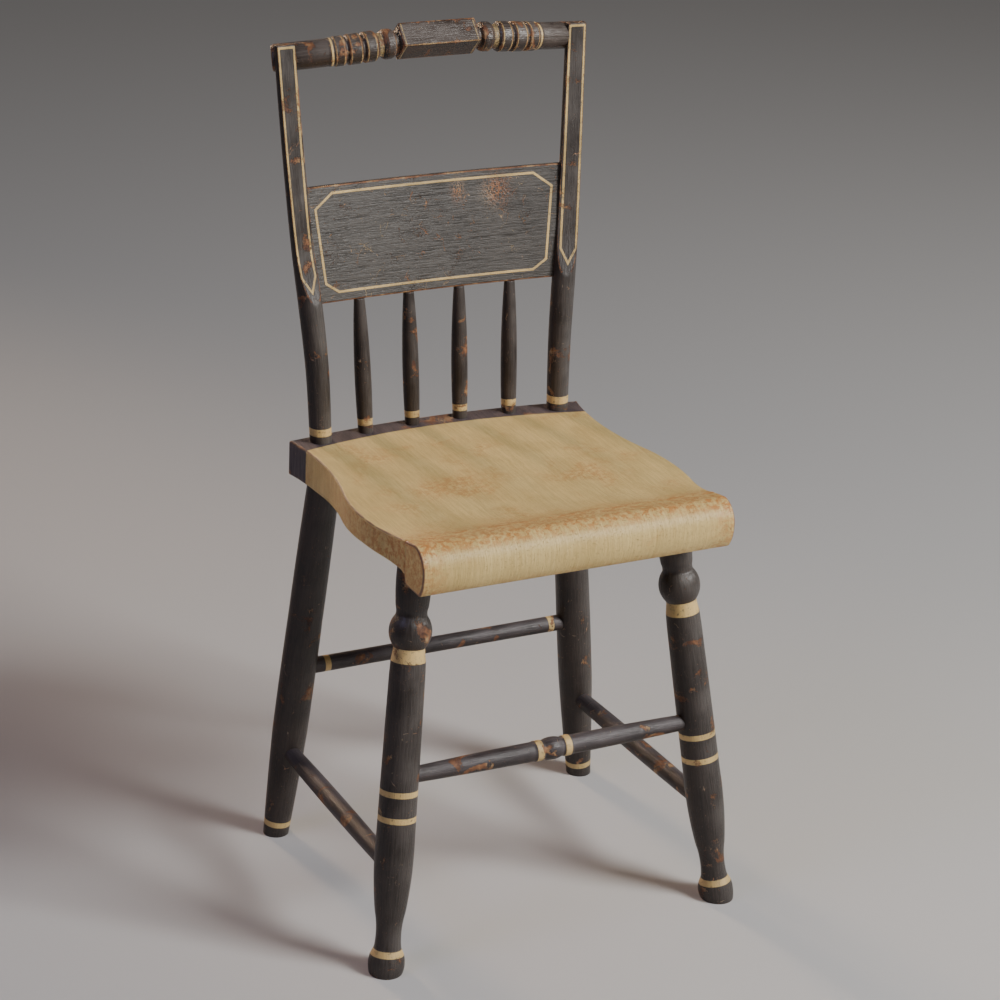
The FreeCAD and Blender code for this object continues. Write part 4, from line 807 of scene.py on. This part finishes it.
def crest_rows():
    """Sections square to the bent axis, from the left end to the right: a circle by the profile's
    radius, and a square set on its corner within the block, closed flat at both its ends."""
    arm = np.concatenate([np.arange(CREST_HALF, BLOCK_HALF, -0.55), [BLOCK_HALF + 0.02]])
    arm_radius = eased(np.stack([arm, np.interp(arm / CREST_HALF, *CREST_PROFILE.T)], axis=1), 1)[:, 1]
    shut = np.linspace(0.03, 0.93, 7)
    grip = np.append([BLOCK_HALF, BLOCK_HALF - 0.5], np.linspace(BLOCK_HALF - 1.4, 0, 26))
    grip_size = BLOCK_DIAGONAL - np.append([0.9, 0.15], np.zeros(26))
    x = np.concatenate([np.full(len(shut), CREST_HALF), arm, grip])
    size = np.concatenate([shut * arm_radius[0], arm_radius, grip_size])
    square = np.concatenate([0 * shut, 0 * arm, 0 * grip + 1])
    x, size, square = (np.concatenate([sign * part, part[-2::-1]])
                       for sign, part in ((-1, x), (1, size), (1, square)))
    share = np.abs(x) / CREST_HALF
    bend = np.maximum(0, share - CREST_BEND_START) / (1 - CREST_BEND_START)
    centre = np.stack([x, CREST_Y + CREST_SWEEP * bend ** CREST_SWEEP_POWER,
                       CREST_Z - CREST_DROP * share ** CREST_DROP_POWER * (1 - square)], axis=1)
    slope_y = (CREST_SWEEP * CREST_SWEEP_POWER * bend ** (CREST_SWEEP_POWER - 1)
               / (1 - CREST_BEND_START) / CREST_HALF * np.sign(x))
    slope_z = (-CREST_DROP * CREST_DROP_POWER * share ** (CREST_DROP_POWER - 1)
               / CREST_HALF * np.sign(x) * (1 - square))
    tangent = np.stack([np.ones_like(x), slope_y, slope_z], axis=1)
    tangent /= np.linalg.norm(tangent, axis=1, keepdims=True)
    upward = np.array([0.0, 0.0, 1.0]) - tangent * tangent[:, 2:]
    upward /= np.linalg.norm(upward, axis=1, keepdims=True)
    backward = np.cross(upward, tangent)
    around = 160
    angle = np.arange(around) / around * 2 * math.pi
    faces = [1 / np.maximum(np.cos(angle - (quarter + 0.5) * math.pi / 2), 0.05) / math.sqrt(2)
             for quarter in range(4)]
    diamond = -0.02 * np.logaddexp.reduce([-face / 0.02 for face in faces], axis=0)
    reach = size[:, None] * np.where(square[:, None] > 0.5, diamond[None], 1.0)
    rows = centre[:, None] + reach[..., None] * (np.cos(angle)[None, :, None] * backward[:, None]
                                                 + np.sin(angle)[None, :, None] * upward[:, None])
    bulge = convexity(np.stack([x, size], axis=1) * [1, -1])
    quarters_off = np.abs((angle / (math.pi / 2) + 0.5) % 1 - 0.5)
    corner = np.clip(1.6 - quarters_off * BLOCK_DIAGONAL * math.pi / 2, 0, 1)
    at_block_end = (np.abs(x) > BLOCK_HALF - 1)[:, None]
    arris = np.where(square[:, None] > 0.5, np.maximum(corner[None], at_block_end), bulge[:, None])
    stripe = np.full(len(x), FAR_FROM_STRIPE)
    for place, half in CREST_LINES:
        stripe = np.minimum(stripe, np.abs(np.abs(x) - place * CREST_HALF) - half)
    in_cove = np.abs(np.abs(x) - COVE_PLACE * CREST_HALF) < COVE_HALF
    stripe = np.minimum(stripe, np.where(in_cove, COVE_COAT_EDGE, FAR_FROM_STRIPE))
    stripe = np.where(square > 0.5, np.abs(BLOCK_HALF - BLOCK_LINE_IN - np.abs(x)) - 0.75, stripe)
    front_corner = np.abs(angle - math.pi)[None] * BLOCK_DIAGONAL - 0.55
    front_line = np.where(square[:, None] > 0.5, front_corner, FAR_FROM_STRIPE)
    stripe = np.minimum(stripe[:, None], front_line)
    run = np.arange(around + 1)[None] / around * 2 * math.pi * CREST_MEAN_RADIUS
    lay = np.stack(np.broadcast_arrays(run, x[:, None]), axis=2) * MILLIMETRE
    return rows, lay, {"arris": arris, "stripe": stripe}


crest_paint = paint("crest paint", (0.036, 0.025, 0.020), (0.138, 0.117, 0.105), rub=1.1, rub_on_arris=0.60,
                    rub_size=1.5, cracks=0.30, line_wear=0.3, rough=0.24, streak_depth=0.55)
rows, lay, marks = crest_rows()
skin("crest_rail_turned", rows, lay, "crest_paint", ["crest_rail"], crest_paint, **marks)

# Pins and pegs: split hardwood pins, driven from behind through the slat's tenons and through the
# crest rail into the posts. Their ends were painted over with the chair and have worn bare again.
PIN_PAINT_DARK, PIN_PAINT_LIGHT = (0.040, 0.026, 0.020), (0.12, 0.080, 0.055)
PIN_GRAIN = (1600.0, 300.0, 1600.0)
pin_wood, tree, shader = new_finish("pin wood")
place = add(tree, "ShaderNodeTexCoord", "Object")
grain = cloud(tree, scaled(tree, place, PIN_GRAIN), 1.0, 4.0, 0.6, 0.4)
worn = placed(tree, rubbed, Place=place, Arris=0.5, Amount=1.0, Arris_amount=0.8, Size=1.6)
coat = mixed(tree, rise(tree, grain, 0.35, 0.65), PIN_PAINT_DARK, PIN_PAINT_LIGHT)
wire(tree, mixed(tree, worn["Mask"], coat, worn["Tint"]), shader.inputs["Base Color"])
wire(tree, sums(tree, "MULTIPLY_ADD", grain, 0.3, 0.45), shader.inputs["Roughness"])
relief = add(tree, "ShaderNodeBump", Strength=0.4, Distance=0.0003, Height=grain)
wire(tree, relief, shader.inputs["Normal"])
for pin in ("slat_pin_left", "slat_pin_right", "crest_peg_left", "crest_peg_right"):
    for material_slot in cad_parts[pin].material_slots:
        material_slot.material = pin_wood

# Studio: a plain pale floor, a broad soft light in front on the right, a warm one behind and a dim
# cool one high on the left, and the camera at the photograph's place and angle.
FLOOR_HALF = 30.0
floor_mesh = bpy.data.meshes.new("studio_floor")
floor_corners = [(x * FLOOR_HALF, y * FLOOR_HALF, 0) for x, y in ((-1, -1), (1, -1), (1, 1), (-1, 1))]
floor_mesh.from_pydata(floor_corners, [], [(0, 1, 2, 3)])
floor = bpy.data.objects.new("studio_floor", floor_mesh)
bpy.context.collection.objects.link(floor)
floor_paint, _, floor_shader = new_finish("studio floor")
floor_shader.inputs["Base Color"].default_value = (0.55, 0.545, 0.54, 1)
floor_shader.inputs["Roughness"].default_value = 0.8
floor_shader.inputs["Specular IOR Level"].default_value = 0.1
floor_mesh.materials.append(floor_paint)

world = bpy.data.worlds.new("studio air")
bpy.context.scene.world = world
world.use_nodes = True
air = next(item for item in world.node_tree.nodes if item.type == "BACKGROUND")
air.inputs["Color"].default_value = (0.94, 0.86, 0.80, 1)
AIR_LIGHT, AIR_SEEN_MORE = 0.09, 0.45
seen_plain = add(world.node_tree, "ShaderNodeLightPath", "Is Camera Ray")
strength = sums(world.node_tree, "MULTIPLY_ADD", seen_plain, AIR_SEEN_MORE, AIR_LIGHT)
wire(world.node_tree, strength, air.inputs["Strength"])
LAMPS = {
    "key_right": ((2.0, -2.2, 2.5), (1.1, 1.1), 160.0, 180, (1.0, 0.98, 0.95)),
    "rim_left": ((-0.5, 3.0, 1.5), (0.5, 1.6), 4.0, 38, (1.0, 0.70, 0.46)),
    "left_cool": ((-2.3, -0.3, 2.3), (0.9, 0.9), 13.0, 180, (0.62, 0.60, 1.0)),
}
AIM = (0.0, 0.0, 0.45)
for label, (where_from, size, power, spread, colour) in LAMPS.items():
    lamp_data = bpy.data.lights.new(label, "AREA")
    lamp_data.shape = "RECTANGLE"
    lamp_data.size, lamp_data.size_y = size
    lamp_data.energy = power
    lamp_data.color = colour
    lamp_data.spread = math.radians(spread)
    lamp = bpy.data.objects.new(label, lamp_data)
    bpy.context.collection.objects.link(lamp)
    lamp.location = where_from
    to_aim = np.array(AIM) - np.array(where_from)
    level = math.hypot(to_aim[0], to_aim[1])
    heading = math.atan2(to_aim[1], to_aim[0]) - math.pi / 2
    lamp.rotation_euler = (math.atan2(level, -to_aim[2]), 0, heading)

CAMERA_PLACE = (-1.2873, -2.4821, 1.5945)
CAMERA_AZIMUTH, CAMERA_ELEVATION, CAMERA_ROLL = (math.radians(part) for part in (-27.585, 22.918, 2.765))
camera_data = bpy.data.cameras.new("photo_camera")
camera_data.sensor_width = 36.0
camera_data.lens = 105.56
camera = bpy.data.objects.new("photo_camera", camera_data)
bpy.context.collection.objects.link(camera)
bpy.context.scene.camera = camera
camera.matrix_world = (
    Matrix.Translation(CAMERA_PLACE) @ Matrix.Rotation(CAMERA_AZIMUTH, 4, "Z")
    @ Matrix.Rotation(math.pi / 2 - CAMERA_ELEVATION, 4, "X") @ Matrix.Rotation(CAMERA_ROLL, 4, "Z"))
